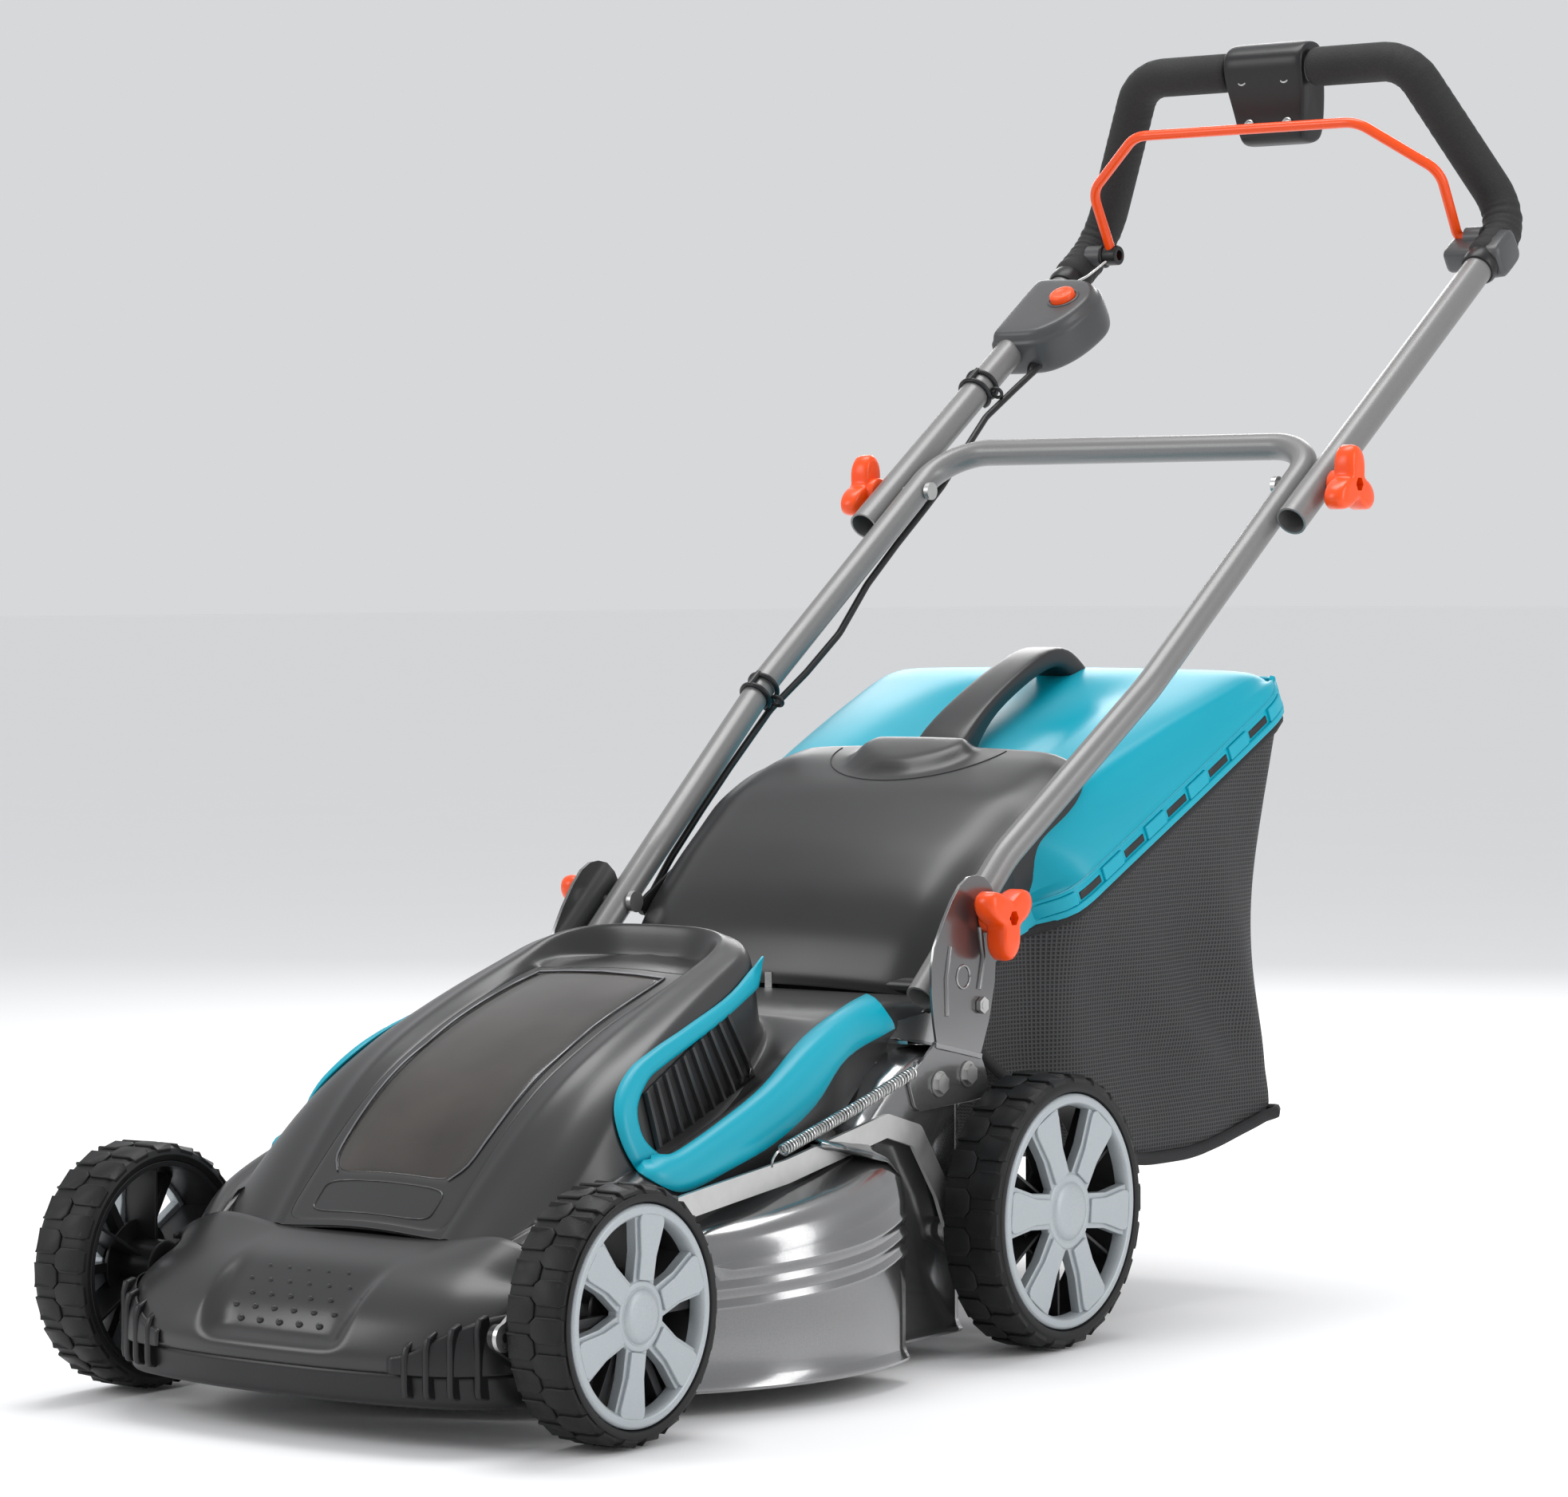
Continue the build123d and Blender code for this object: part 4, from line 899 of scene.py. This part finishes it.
seam = [dropped(flap_skin, 74 * math.cos(a), 84 + 58 * math.sin(a)) for a in
        (math.radians(180 + 180 * n / 32) for n in range(33))]
Form().pipe(seam, 0.55, sides=6).piece("flap_seam", vent_black, "flap", "flap_black")
knuckles = Form()
for x0, x1 in ((-127, -6), (6, 127)):
    knuckles.spun([(x0, 4.2), (x0, 7), (x1, 7), (x1, 4.2)], (-103, 252), 24)
knuckles.piece("flap_knuckles", flap_black, "flap", "flap_black", bevel=0.4)

# ---- grass box lid -----------------------------------------------------------------------------------------------
# The lid of the grass box is a turquoise moulding with a hollow each side of its handle. Its rim is stepped,
# and dark clip tabs hold the bag's frame in slots along it.
BOX_SLOPE = math.radians(27.5)
LID_HALF = [(0, 139), (60, 139), (96, 140), (108, 146), (120, 160), (132, 171), (150, 174), (386, 187), (412, 184),
            (430, 172)]
RIM_HALF = [(0, 140), (60, 140), (86, 140.5), (92, 145), (100, 156), (110, 167), (120, 171), (132, 173), (150, 174),
            (386, 187), (412, 184), (430, 172)]
LID_ROOF = [(0, 128), (96, 129), (128, 141), (390, 152), (430, 138)]
LID_HEIGHT = [(0, 36), (12, 44), (30, 51), (70, 58), (110, 62), (200, 61), (300, 51), (368, 41), (410, 34), (422, 29),
              (430, 20)]


def on_box(x, u, w):
    """Across, up the slope from the box's front lower edge, and away from its rim."""
    return (x, -70 + u * math.cos(BOX_SLOPE) - w * math.sin(BOX_SLOPE),
            247 + u * math.sin(BOX_SLOPE) + w * math.cos(BOX_SLOPE))


def lid_hollow(x, u):
    """Depth of the hollow beside and under the handle."""
    along_u = smoothstep(u, 150, 215) * smoothstep(388 - u, 0, 60)
    across = smoothstep(abs(x), 10, 34) * smoothstep(100 - abs(x), 0, 52)
    return 13 * along_u * (0.35 + 0.65 * across) * smoothstep(104 - abs(x), 0, 50)


def lid_section(u):
    half, roof, high = along(LID_HALF, u), along(LID_ROOF, u), along(LID_HEIGHT, u)
    edge = half + (roof - half) * max(0.0, (high - 18) / 48)
    row = [(edge * k, u, high + 2.5 * (1 - k * k) - lid_hollow(edge * k, u)) for k in
           (0, 0.08, 0.16, 0.25, 0.34, 0.44, 0.54, 0.64, 0.74, 0.83)]
    row += [(edge - 12, u, high - 0.5), (edge - 3.5, u, high - 4), (edge + 1, u, high - 10)]
    rim = along(RIM_HALF, u)
    row += [(edge + (half - edge) * 0.55 + 0.8, u, 18 + (high - 18) * 0.42),
            (half + (rim - half) * 0.2 - 0.8, u, 19.5), (rim - 1.2, u, 18.5), (rim, u, 15), (rim, u, -1)]
    return [on_box(*p) for p in row]


lid_rows = [lid_section(u) for u in (0, 6, 14, 26, 42, 60, 80, 94, 104, 112, 122, 132, 144, 160, 180, 200, 225, 250,
                                     275, 300, 325, 350, 370, 388, 402, 414, 422, 427, 430)]
lid_rows.append([on_box(172 * k, 430.5, 18.5) for k in (0, 0.08, 0.16, 0.25, 0.34, 0.44, 0.54, 0.64, 0.74, 0.83,
                                                        0.9, 0.95, 0.97, 0.98, 0.985, 0.99, 1.0)]
                + [on_box(172, 430.5, -1)])
lid_form = Form().grid(lid_rows)
lid_form.grid([[on_box(x, 431, w) for x in (0, 60, 120, 160, 172)] for w in (18.5, 8, -1)])
lid_form.add(lid_form.mirrored())
lid = lid_form.piece("box_cover", turquoise, "grass_box", "turquoise", soften=1, wall=2.4, bevel=0.5, sharp=50)
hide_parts("box_lid")

step_form, tab_form = Form(), Form()


def rim_block(form, u0, u1, w0, w1, out, depth=2.0):
    """A raised strip that follows the rim."""
    rows = []
    steps = max(3, round((u1 - u0) / 8))
    for u in (u0 + (u1 - u0) * k / steps for k in range(steps + 1)):
        half = along(RIM_HALF, u)
        rows.append([on_box(half - depth, u, w0), on_box(half + out, u, w0 + 0.6), on_box(half + out, u, w1 - 0.6),
                     on_box(half - depth, u, w1)])
    form.grid(rows, wrap=True, ends=True)


for k in range(7):
    u = 14 + 59.5 * k
    rim_block(tab_form, u - 12 if k else 4, u + 14, 5.0, 12.0, 0.5)
    rim_block(step_form, u + 17, u + 43, 4.0, 15.5, 2.0)
rim_block(step_form, 2, 428, -1.5, 4.5, 2.0)
rim_block(step_form, 2, 428, 15.0, 18.5, 0.8)
step_form.slab([(-90, 223), (-90, 234), (-80, 252), (-70, 262), (-52, 266), (-58, 252), (-66, 243), (-72, 224)],
               137, 141.5)
for name, form, finish, slot in (("rim_steps", step_form, turquoise, "turquoise"),
                                 ("rim_tabs", tab_form, black_plastic, "black_plastic")):
    form.add(form.mirrored())
    form.piece(name, finish, "grass_box", slot, bevel=0.7)

# ---- box handle --------------------------------------------------------------------------------------------------
# A black arched grip grows out of a mound at the front of the lid and lands on a ribbed foot at its rear.
handle_grey = moulded("handle_grey", (0.020, 0.020, 0.021), roughness=0.36, coat=0.2, wear=0.05)
HANDLE_TOP = [(92, 402), (104, 419), (124, 434), (150, 449), (180, 464), (210, 477), (234, 485), (252, 487),
              (266, 483), (280, 474), (290, 464), (297, 458)]
HANDLE_UNDER = [(118, 400), (126, 411), (140, 424), (158, 437), (184, 450), (210, 461), (232, 469), (246, 470),
                (254, 467), (264, 460), (272, 454), (282, 450)]
HANDLE_HALF = [25, 23, 21, 19, 18, 17, 17, 17, 17, 17.5, 19, 20]
handle_rows = []
for (yt, zt), (yu, zu), half in zip(HANDLE_TOP, HANDLE_UNDER, HANDLE_HALF):
    middle = Vector((0, (yt + yu) / 2, (zt + zu) / 2))
    up = Vector((0, (yt - yu) / 2, (zt - zu) / 2))
    handle_rows.append([middle + Vector((half * across, 0, 0)) + up * rise for across, rise in
                        (squared(2 * math.pi * k / 20, 0.36) for k in range(20))])
handle_form = Form().grid(handle_rows, wrap=True, ends=True)
for k in range(5):
    y = 258 + 6.5 * k
    handle_form.slab([(y, 466 - 2.6 * k), (y + 2.6, 465 - 2.6 * k), (y + 6, 446), (y + 3, 445)], -12, 12)
grip = handle_form.piece("box_grip", handle_grey, "grass_box", "black_plastic", soften=1)
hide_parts("box_handle")

# ---- grass bag ---------------------------------------------------------------------------------------------------
# The bag is coarse woven mesh sewn to a bound hem. It hangs from the lid's rim, sags between its corners and
# creases toward the lower rear corners, where the hem sticks out.
bag_mesh = Finish("bag_mesh", roughness=0.75)
YARN_TURN = 2094.0                  # radians per metre, a hole every 3 mm
place = bag_mesh.place()
facing = bag_mesh.axis("X", bag_mesh.node("NewGeometry", output="Normal"))
sideways = bag_mesh.band(bag_mesh.maths("ABSOLUTE", facing), 0.5, 0.6)
first_way = bag_mesh.axis("Y", place) * sideways + bag_mesh.axis("X", place) * (1 - sideways)
weft = bag_mesh.maths("SINE", first_way * YARN_TURN) * 0.5 + 0.5
warp = bag_mesh.maths("SINE", bag_mesh.axis("Z", place) * YARN_TURN) * 0.5 + 0.5
yarn = bag_mesh.maths("MAXIMUM", weft, warp)
weave = bag_mesh.band(yarn, 0.55, 0.95)
dust = bag_mesh.noise(7.0, 5.0)
bag_mesh.feed("Base Color", bag_mesh.mix(weave, (0.006, 0.006, 0.0065), (0.046, 0.046, 0.048)))
bag_mesh.feed("Roughness", dust * 0.25 + 0.6)
bag_mesh.feed("Normal", bag_mesh.relief(yarn, 0.0006, 0.8, bag_mesh.relief(dust, 0.004, 0.3)))
binding = Finish("bag_binding", roughness=0.8)
binding_noise = binding.noise(900.0, 3.0)
binding.feed("Base Color", binding.mix(binding_noise, (0.006, 0.006, 0.007), (0.022, 0.022, 0.024)))
binding.feed("Normal", binding.relief(binding_noise, 0.0004, 0.8))

BAG_FLOOR = [(0, -73, 219), (0.18, 0, 170), (0.4, 88, 118), (0.62, 160, 110), (0.8, 218, 116), (1.0, 290, 133)]
BAG_HALF = [(0, 139), (0.14, 141), (0.2, 150), (0.3, 166), (0.5, 173), (0.9, 181), (1.0, 180)]


def bag_point(s, t):
    """s runs along the side from front to rear and t from the rim down to the hem."""
    u = 4 + 424 * s
    _, rim_y, rim_z = on_box(0, u, -1.5)
    low_y = along([(a, y) for a, y, _ in BAG_FLOOR], s)
    low_z = along([(a, z) for a, _, z in BAG_FLOOR], s)
    x_top = along(RIM_HALF, u) - 2.5
    x_low = along(BAG_HALF, s) - 3 + 5 * smoothstep(s, 0.85, 1.0)
    pull = math.sin(math.pi * t)
    y = rim_y + (low_y - rim_y) * t - 20 * pull * s ** 3 * (1 - 0.35 * t)
    z = rim_z + (low_z - rim_z) * t
    x = x_top + (x_low - x_top) * t - 7 * pull * smoothstep(s, 0.1, 0.35)
    fold = math.atan2(z - 125, 300 - y)
    reach = math.hypot(z - 125, 300 - y)
    x += 6.5 * math.sin(fold * 12 + 0.6) * smoothstep(reach, 8, 90) * smoothstep(260 - reach, 0, 150) * pull ** 0.5
    x += 1.6 * math.sin(y * 0.05 + z * 0.03) * pull
    return x, y, z


SIDE_STEPS = [k / 26 for k in range(27)]
DROP_STEPS = [k / 18 for k in range(19)]
bag_rows = []
for t in DROP_STEPS:
    front = bag_point(0, t)
    rear = bag_point(1, t)
    row = [(front[0] * k / 5, front[1] + 3 * math.sin(math.pi * k / 5), front[2]) for k in range(5)]
    row += [bag_point(s, t) for s in SIDE_STEPS]
    for k in range(9, -1, -1):
        wide = k / 10
        belly = math.sin(math.pi * t) * (1 - wide ** 2) * 8
        row.append((rear[0] * wide, rear[1] + belly + 2.0 * math.sin(wide * 9 + t * 5) * math.sin(math.pi * t),
                    rear[2] - 6 * (1 - wide ** 2) * t))
    bag_rows.append(row)
hem = bag_rows[-1]
for wide in (0.85, 0.6, 0.3, 0.0):
    bag_rows.append([(x * wide, y, z - 5 * (1 - wide)) for x, y, z in hem])
bag_form = Form().grid(bag_rows)
bag_form.add(bag_form.mirrored())
bag = bag_form.piece("grass_bag_mesh", bag_mesh, "grass_box", "mesh", wall=1.2, soften=1, sharp=60)
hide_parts("grass_bag")

hem_form = Form()
hem_line = [bag_point(s, 1.0) for s in SIDE_STEPS]
rear_corner = hem_line[-1]
hem_line = hem_line[:-1] + [(rear_corner[0] + 1, rear_corner[1] + 1, rear_corner[2])]
across = [(rear_corner[0] * k, rear_corner[1] + 1.5, rear_corner[2] - 6 * (1 - k * k)) for k in (0.7, 0.35, 0)]
full_hem = hem_line + across
full_hem += [(-x, y, z) for x, y, z in reversed(full_hem[:-1])]
hem_form.pipe([p + Vector((0, -1.5 if p.y > 200 else 0, 2.2)) for p in smooth_line(full_hem, 2)], 4.2, sides=8,
              flat=1.1)
for k in (-1, 1):
    post = [(k * (x + 1.0), y, z) for x, y, z in (bag_point(0.005, t) for t in DROP_STEPS)]
    hem_form.pipe(post, 3.0, sides=8)
    top = [(k * (x + 1.2), y, z) for x, y, z in (bag_point(s, 0.012) for s in SIDE_STEPS)]
    hem_form.pipe(top, 2.6, sides=8, flat=1.6)
hem_form.piece("bag_hem", binding, "grass_box", "mesh")

# ---- star knobs --------------------------------------------------------------------------------------------------
# Orange three-lobed knobs, moulded with a boss on the inside and a hexagon socket outside, clamp the folds.
orange = moulded("knob_orange", (0.95, 0.075, 0.0), roughness=0.34, grain=800.0, depth=0.00005, coat=0.3,
                 wear=0.02, mottle=0.06)
KNOBS = {"lower": ((-85, 302), 169.4, 30), "upper": ((328, 609), 209.6, 90)}


def knob_outline(centre, scale, turn):
    ring = []
    for k in range(72):
        a = 2 * math.pi * k / 72
        lobe = (0.5 + 0.5 * math.cos(3 * (a - math.radians(turn)))) ** 1.15
        r = (12.4 + 17.6 * lobe) * scale
        ring.append((centre[0] + r * math.cos(a), centre[1] + r * math.sin(a)))
    return ring


def knob_form(centre, face, turn):
    form = Form().spun([(face, 4.2), (face, 10.2), (face + 0.8, 11), (face + 8, 11), (face + 8, 4.2)], centre, 32)
    rows = [[(face + x, y, z) for y, z in knob_outline(centre, scale, turn)] for x, scale in
            ((6, 0.25), (6, 0.80), (6.8, 0.93), (9, 1.0), (17, 1.0), (20.5, 0.965), (22.4, 0.88), (23.2, 0.74),
             (23.4, 0.55), (23.4, 0.42))]
    form.grid(rows, wrap=True)
    hexagon = []
    for k in range(72):
        a = 2 * math.pi * k / 72
        r = 5.6 * math.cos(math.pi / 6) / math.cos((a % (math.pi / 3)) - math.pi / 6)
        hexagon.append((centre[0] + r * math.cos(a), centre[1] + r * math.sin(a)))
    rim = [(face + 23.4, y, z) for y, z in knob_outline(centre, 0.42, turn)]
    form.grid([rim, [(face + 23.4, y, z) for y, z in hexagon], [(face + 18, y, z) for y, z in hexagon]], wrap=True)
    form.faces.append(tuple(range(len(form.points) - 72, len(form.points))))
    return form


for level, (centre, face, turn) in KNOBS.items():
    for side in ("right", "left"):
        form = knob_form(centre, face, turn)
        knob = (form if side == "right" else form.mirrored()).piece(
            f"{level}_{side}_star", orange, f"{level}_{side}_knob", "orange", sharp=50)
        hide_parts(f"{level}_{side}_knob")

# ---- handle tubes and bail -----------------------------------------------------------------------------------------
# Both handles are bent steel tube in a silver powder coat. The squeeze bail is a thinner bar in orange.
silver = lacquered("silver_coat", (0.19, 0.188, 0.186), metallic=0.25, roughness=0.38, coat=0.12, wear=0.0)
bail_orange = moulded("bail_orange", (0.86, 0.07, 0.0), roughness=0.28, coat=0.3, wear=0.0, mottle=0.04)
paint(silver, "lower_tube", "upper_tube")
paint(bail_orange, "bail")
switch_grey = moulded("switch_grey", (0.062, 0.063, 0.065), roughness=0.38, coat=0.2, wear=0.05)
paint(switch_grey, "bail_bushes")
cable_sheath = moulded("cable_sheath", (0.012, 0.012, 0.013), roughness=0.4)
paint(cable_sheath, "upper_cable", "lower_cable")
paint(orange, "start_button", "lever_grip")

# ---- foam grips ----------------------------------------------------------------------------------------------------
# Slit foam sleeves are pushed round the upper corners of the handle; they wrinkle on the inside of the bends
# and above the collar at their lower end.
foam = Finish("foam", roughness=0.85)
cells = foam.node("TexVoronoi", {}, {"Vector": foam.place(), "Scale": 1100.0})
foam.feed("Base Color", foam.mix(cells, (0.006, 0.006, 0.006), (0.020, 0.020, 0.021)))
foam.feed("Roughness", foam.noise(14.0) * 0.2 + 0.66)
foam.feed("Normal", foam.relief(cells, 0.0004, 0.6))


def filleted(points, bends, step=5.0):
    """Points along straight runs joined by arcs."""
    out = [Vector(points[0])]
    for a, b, c, bend in zip(points, points[1:], points[2:], bends):
        a, b, c = Vector(a), Vector(b), Vector(c)
        into, off = (b - a).normalized(), (c - b).normalized()
        turn = into.angle(off)
        reach = bend * math.tan(turn / 2)
        start, end = b - into * reach, b + off * reach
        centre = start + (off - into * off.dot(into)).normalized() * bend
        n = max(3, int(bend * turn / step))
        for k in range(n + 1):
            arm = Vector(start - centre)
            axis = into.cross(off).normalized()
            out.append(centre + Matrix.Rotation(turn * k / n, 3, axis) @ arm)
    out.append(Vector(points[-1]))
    fine = []
    for p, q in zip(out, out[1:]):
        n = max(1, round((q - p).length / step))
        fine += [p.lerp(q, k / n) for k in range(n)]
    return fine + [out[-1]]


UPPER_X = 197                       # from the middle to the upper handle's tubes


def on_upper_run(y):
    """Height of the upper tubes' straight run."""
    return 581 + (y - 287) * 245 / 354


foam_line = filleted([(UPPER_X, 590, on_upper_run(590)), (UPPER_X, 641, 826), (126, 593, 957), (38, 593, 957)],
                     [42, 36], 2.5)
radii = []
for k, p in enumerate(foam_line):
    low = smoothstep(k, 2, 4) * smoothstep(34 - k, 0, 14)
    mid = smoothstep(k, 40, 55) * smoothstep(92 - k, 0, 12)
    ripple = math.sin(k * 2.1 + math.sin(k * 0.7)) * (0.75 * low + 0.25 * mid)
    end = 1.0 - 0.12 * (k < 2) - 0.08 * (k > len(foam_line) - 3)
    radii.append((16.2 + ripple - 0.3 * low) * end)
foam_form = Form().pipe(foam_line, radii, sides=32)
foam_form.add(foam_form.mirrored())
sleeves = foam_form.piece("foam_sleeves", foam, "upper_handle", "foam", soften=1)
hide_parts("foam_grips")
collar = Form().pipe([(UPPER_X, y, on_upper_run(y)) for y in (580, 583, 590, 592)], [13.6, 15.0, 15.0, 14.2], sides=32)
collar.add(collar.mirrored())
collar.piece("foam_collars", black_plastic, "upper_handle", "foam", bevel=0.5)

# ---- centre box ----------------------------------------------------------------------------------------------------
# The two halves of a tapered black moulding are screwed together round the middle of the handle.
CENTRE_SIDE = [(573, 962), (577, 972), (586, 978), (596, 980), (606, 979), (613, 972), (619, 940), (626, 912),
               (624, 900), (612, 896), (598, 895), (590, 900), (586, 920), (578, 944)]
centre_rows = []
for x, shrink in ((-38, 0.84), (-36.8, 0.93), (-34.5, 1.0), (-20, 1.0), (0, 1.0), (20, 1.0), (34.5, 1.0), (36.8, 0.93),
                  (38, 0.84)):
    row = []
    for y, z in CENTRE_SIDE:
        taper = 1 - 0.20 * smoothstep(955 - z, 0, 60)
        row.append((x * taper, 600 + (y - 600) * shrink, 940 + (z - 940) * (0.5 + 0.5 * shrink)))
    centre_rows.append(row)
centre_form = Form().grid(centre_rows, wrap=True, ends=True)
housing = centre_form.piece("centre_housing", black_plastic, "upper_handle", "black_plastic", soften=2)
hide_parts("centre_box")
screw_form = Form()
for x, y, z in ((-20, 579.5, 948), (20, 579.5, 948), (-18, 586.5, 912), (18, 586.5, 912)):
    spot = Form().grid([[(r * math.cos(a), -h, r * math.sin(a)) for a in (math.pi * n / 8 for n in range(16))]
                        for r, h in ((4.6, -1), (4.6, 1.2), (3.6, 1.6), (2.8, 0.2), (0.1, 0.2))], wrap=True, ends=True)
    screw_form.add(spot, Matrix.Translation((x, y, z)) @ Matrix.Rotation(math.radians(-14), 4, "X"))
screw_form.piece("centre_screws", zinc, "upper_handle", "black_plastic")

# ---- switch box ----------------------------------------------------------------------------------------------------
# A grey D-shaped housing is clamped on the left tube. Two bevels run round its flat top, and the round orange
# start button stands in a ring near the inboard side.
SWITCH_SLOPE = math.atan2(245, 354)
SWITCH_MIDDLE = 20
SWITCH_OUTLINE = [(-17, -46), (-14, -48), (8, -48.5), (28, -48), (38, -42), (48, -32), (56, -16), (60, 4), (60, 16),
                  (56, 28), (48, 38), (36, 46), (10, 48), (-13, 48), (-17, 45), (-19, 20), (-19, -20)]


def on_switch(x, s, h):
    """Across from the left tube, up its slope and away from it."""
    return (-UPPER_X + x, 536 + s * math.cos(SWITCH_SLOPE) - h * math.sin(SWITCH_SLOPE),
            on_upper_run(536) + s * math.sin(SWITCH_SLOPE) + h * math.cos(SWITCH_SLOPE))


switch_rows = []
for inset, h in ((8, -23.5), (3, -22.5), (0.8, -19), (0, -10), (0, 6), (1.0, 8.5), (3.2, 10), (4.2, 13.5), (6.4, 16.4),
                 (9.5, 17.6), (22, 17.8)):
    ring = []
    for x, s in SWITCH_OUTLINE:
        k = 1 - inset / math.hypot(x - SWITCH_MIDDLE, s)
        ring.append(on_switch(SWITCH_MIDDLE + (x - SWITCH_MIDDLE) * k, s * k, h))
    switch_rows.append(ring)
switch_form = Form().grid(switch_rows, wrap=True, ends=True)
switch = switch_form.piece("switch_housing", switch_grey, "upper_handle", "switch_grey", soften=2)
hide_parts("switch_box")


def switch_round(form, centre, profile, steps=32):
    form.grid([[on_switch(centre[0] + r * math.cos(a), centre[1] + r * math.sin(a), h) for a in
                (2 * math.pi * n / steps for n in range(steps))] for r, h in profile], wrap=True, ends=True)


ring_form = Form()
switch_round(ring_form, (31, 8), ((14.5, 15), (14.2, 18.3), (13.2, 18.9), (11.7, 18.6), (11.6, 15)))
ring_form.piece("button_ring", switch_grey, "upper_handle", "switch_grey", bevel=0.3)
button_form = Form()
switch_round(button_form, (31, 8), ((10.9, 12), (10.9, 21.5), (10.4, 23.1), (9.2, 23.9), (7.2, 24), (5.6, 23.3),
                                    (0.2, 22.9)))
button = button_form.piece("start_cap", orange, "start_button", "orange")
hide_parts("start_button")
gland = Form().pipe([on_switch(20, -44, -14), on_switch(20, -50, -14.5), on_switch(21, -56, -15)], [5.5, 5.0, 3.6])
gland.piece("switch_gland", black_plastic, "upper_handle", "black_plastic", bevel=0.4)

# ---- cable clips and bail fittings -----------------------------------------------------------------------------------
# Dark spring clips hold the cables against the left tube. A thin steel wire joins the bail's hook to the
# switch, and a grey clamp on the right tube carries the bail's other end.
def clip(form, centre, direction, radius, loop):
    """An open band round a tube with a small eye for the cable."""
    ahead = Vector(direction).normalized()
    side = Vector((1, 0, 0))
    up = side.cross(ahead)
    centre = Vector(centre)
    for shift in (-6.5, 6.5):
        band = [centre + ahead * shift + (side * math.cos(a) + up * math.sin(a)) * (radius + 1.4)
                for a in (math.radians(-70 + 290 * n / 28) for n in range(29))]
        form.pipe(band, 2.0, sides=8)
    spine = [centre + ahead * w + up * (radius + 1.6) for w in (-8, 0, 8)]
    form.pipe(spine, 2.6, sides=10)
    eye_centre = centre + (side * loop[0] + up * loop[1])
    ring = [eye_centre + (side * math.cos(a) + up * math.sin(a)) * 4.6 for a in
            (2 * math.pi * n / 20 for n in range(21))]
    form.pipe(ring, 1.5, sides=8)


upper_clips, lower_clips = Form(), Form()
clip(upper_clips, (-UPPER_X, 452, on_upper_run(452)), (0, 354, 245), 12, (16.5, -4))
upper_clips.piece("upper_clips", black_plastic, "upper_handle", "black_plastic")
clip(lower_clips, (-172, 112, 452.2), (0, 0.81, 0.587), 10.5, (13, -9))
lower_clips.piece("lower_clips", black_plastic, "lower_handle", "black_plastic")

wire_line = [on_switch(10, 46, 4), on_switch(14, 58, 4), (-176, 588, 795), (-167, 603, 808)]
wire_form = Form().pipe(smooth_line(wire_line, 8), 1.0, sides=8)
wire_form.piece("switch_wire", zinc, "upper_handle", "zinc")
pull_form = Form()
for x0, x1, r in ((158, 173, 8.4), (171, 174, 10.4)):
    pull_form.spun([(-x0, 4.3), (-x0, r - 1), (-x0 - 1, r), (-x1 + 1, r), (-x1, r - 1), (-x1, 4.3)], (608, 812), 28)
pull_form.piece("bail_bush_ring", black_plastic, "upper_handle", "switch_grey", bevel=0.4)

clamp_rows = []
along_run = Vector((0, 354, 245)).normalized()
up = Vector((1, 0, 0)).cross(along_run)
for x, k in ((161, 0.80), (162.2, 0.92), (165, 1.0), (182, 1.0), (205, 1.04), (212, 1.0), (214, 0.88), (214.8, 0.75)):
    middle = Vector((x, 602, on_upper_run(602) - 1))
    reach, rise = (18, 14.5) if x > 190 else (13, 11)
    clamp_rows.append([middle + along_run * (reach * k * ahead) + up * (rise * k * high) for ahead, high in
                       (squared(2 * math.pi * n / 24, 0.45) for n in range(24))])
clamp = Form().grid(clamp_rows, wrap=True, ends=True)
clamp.piece("bail_clamp", switch_grey, "upper_handle", "switch_grey", bevel=0.5)
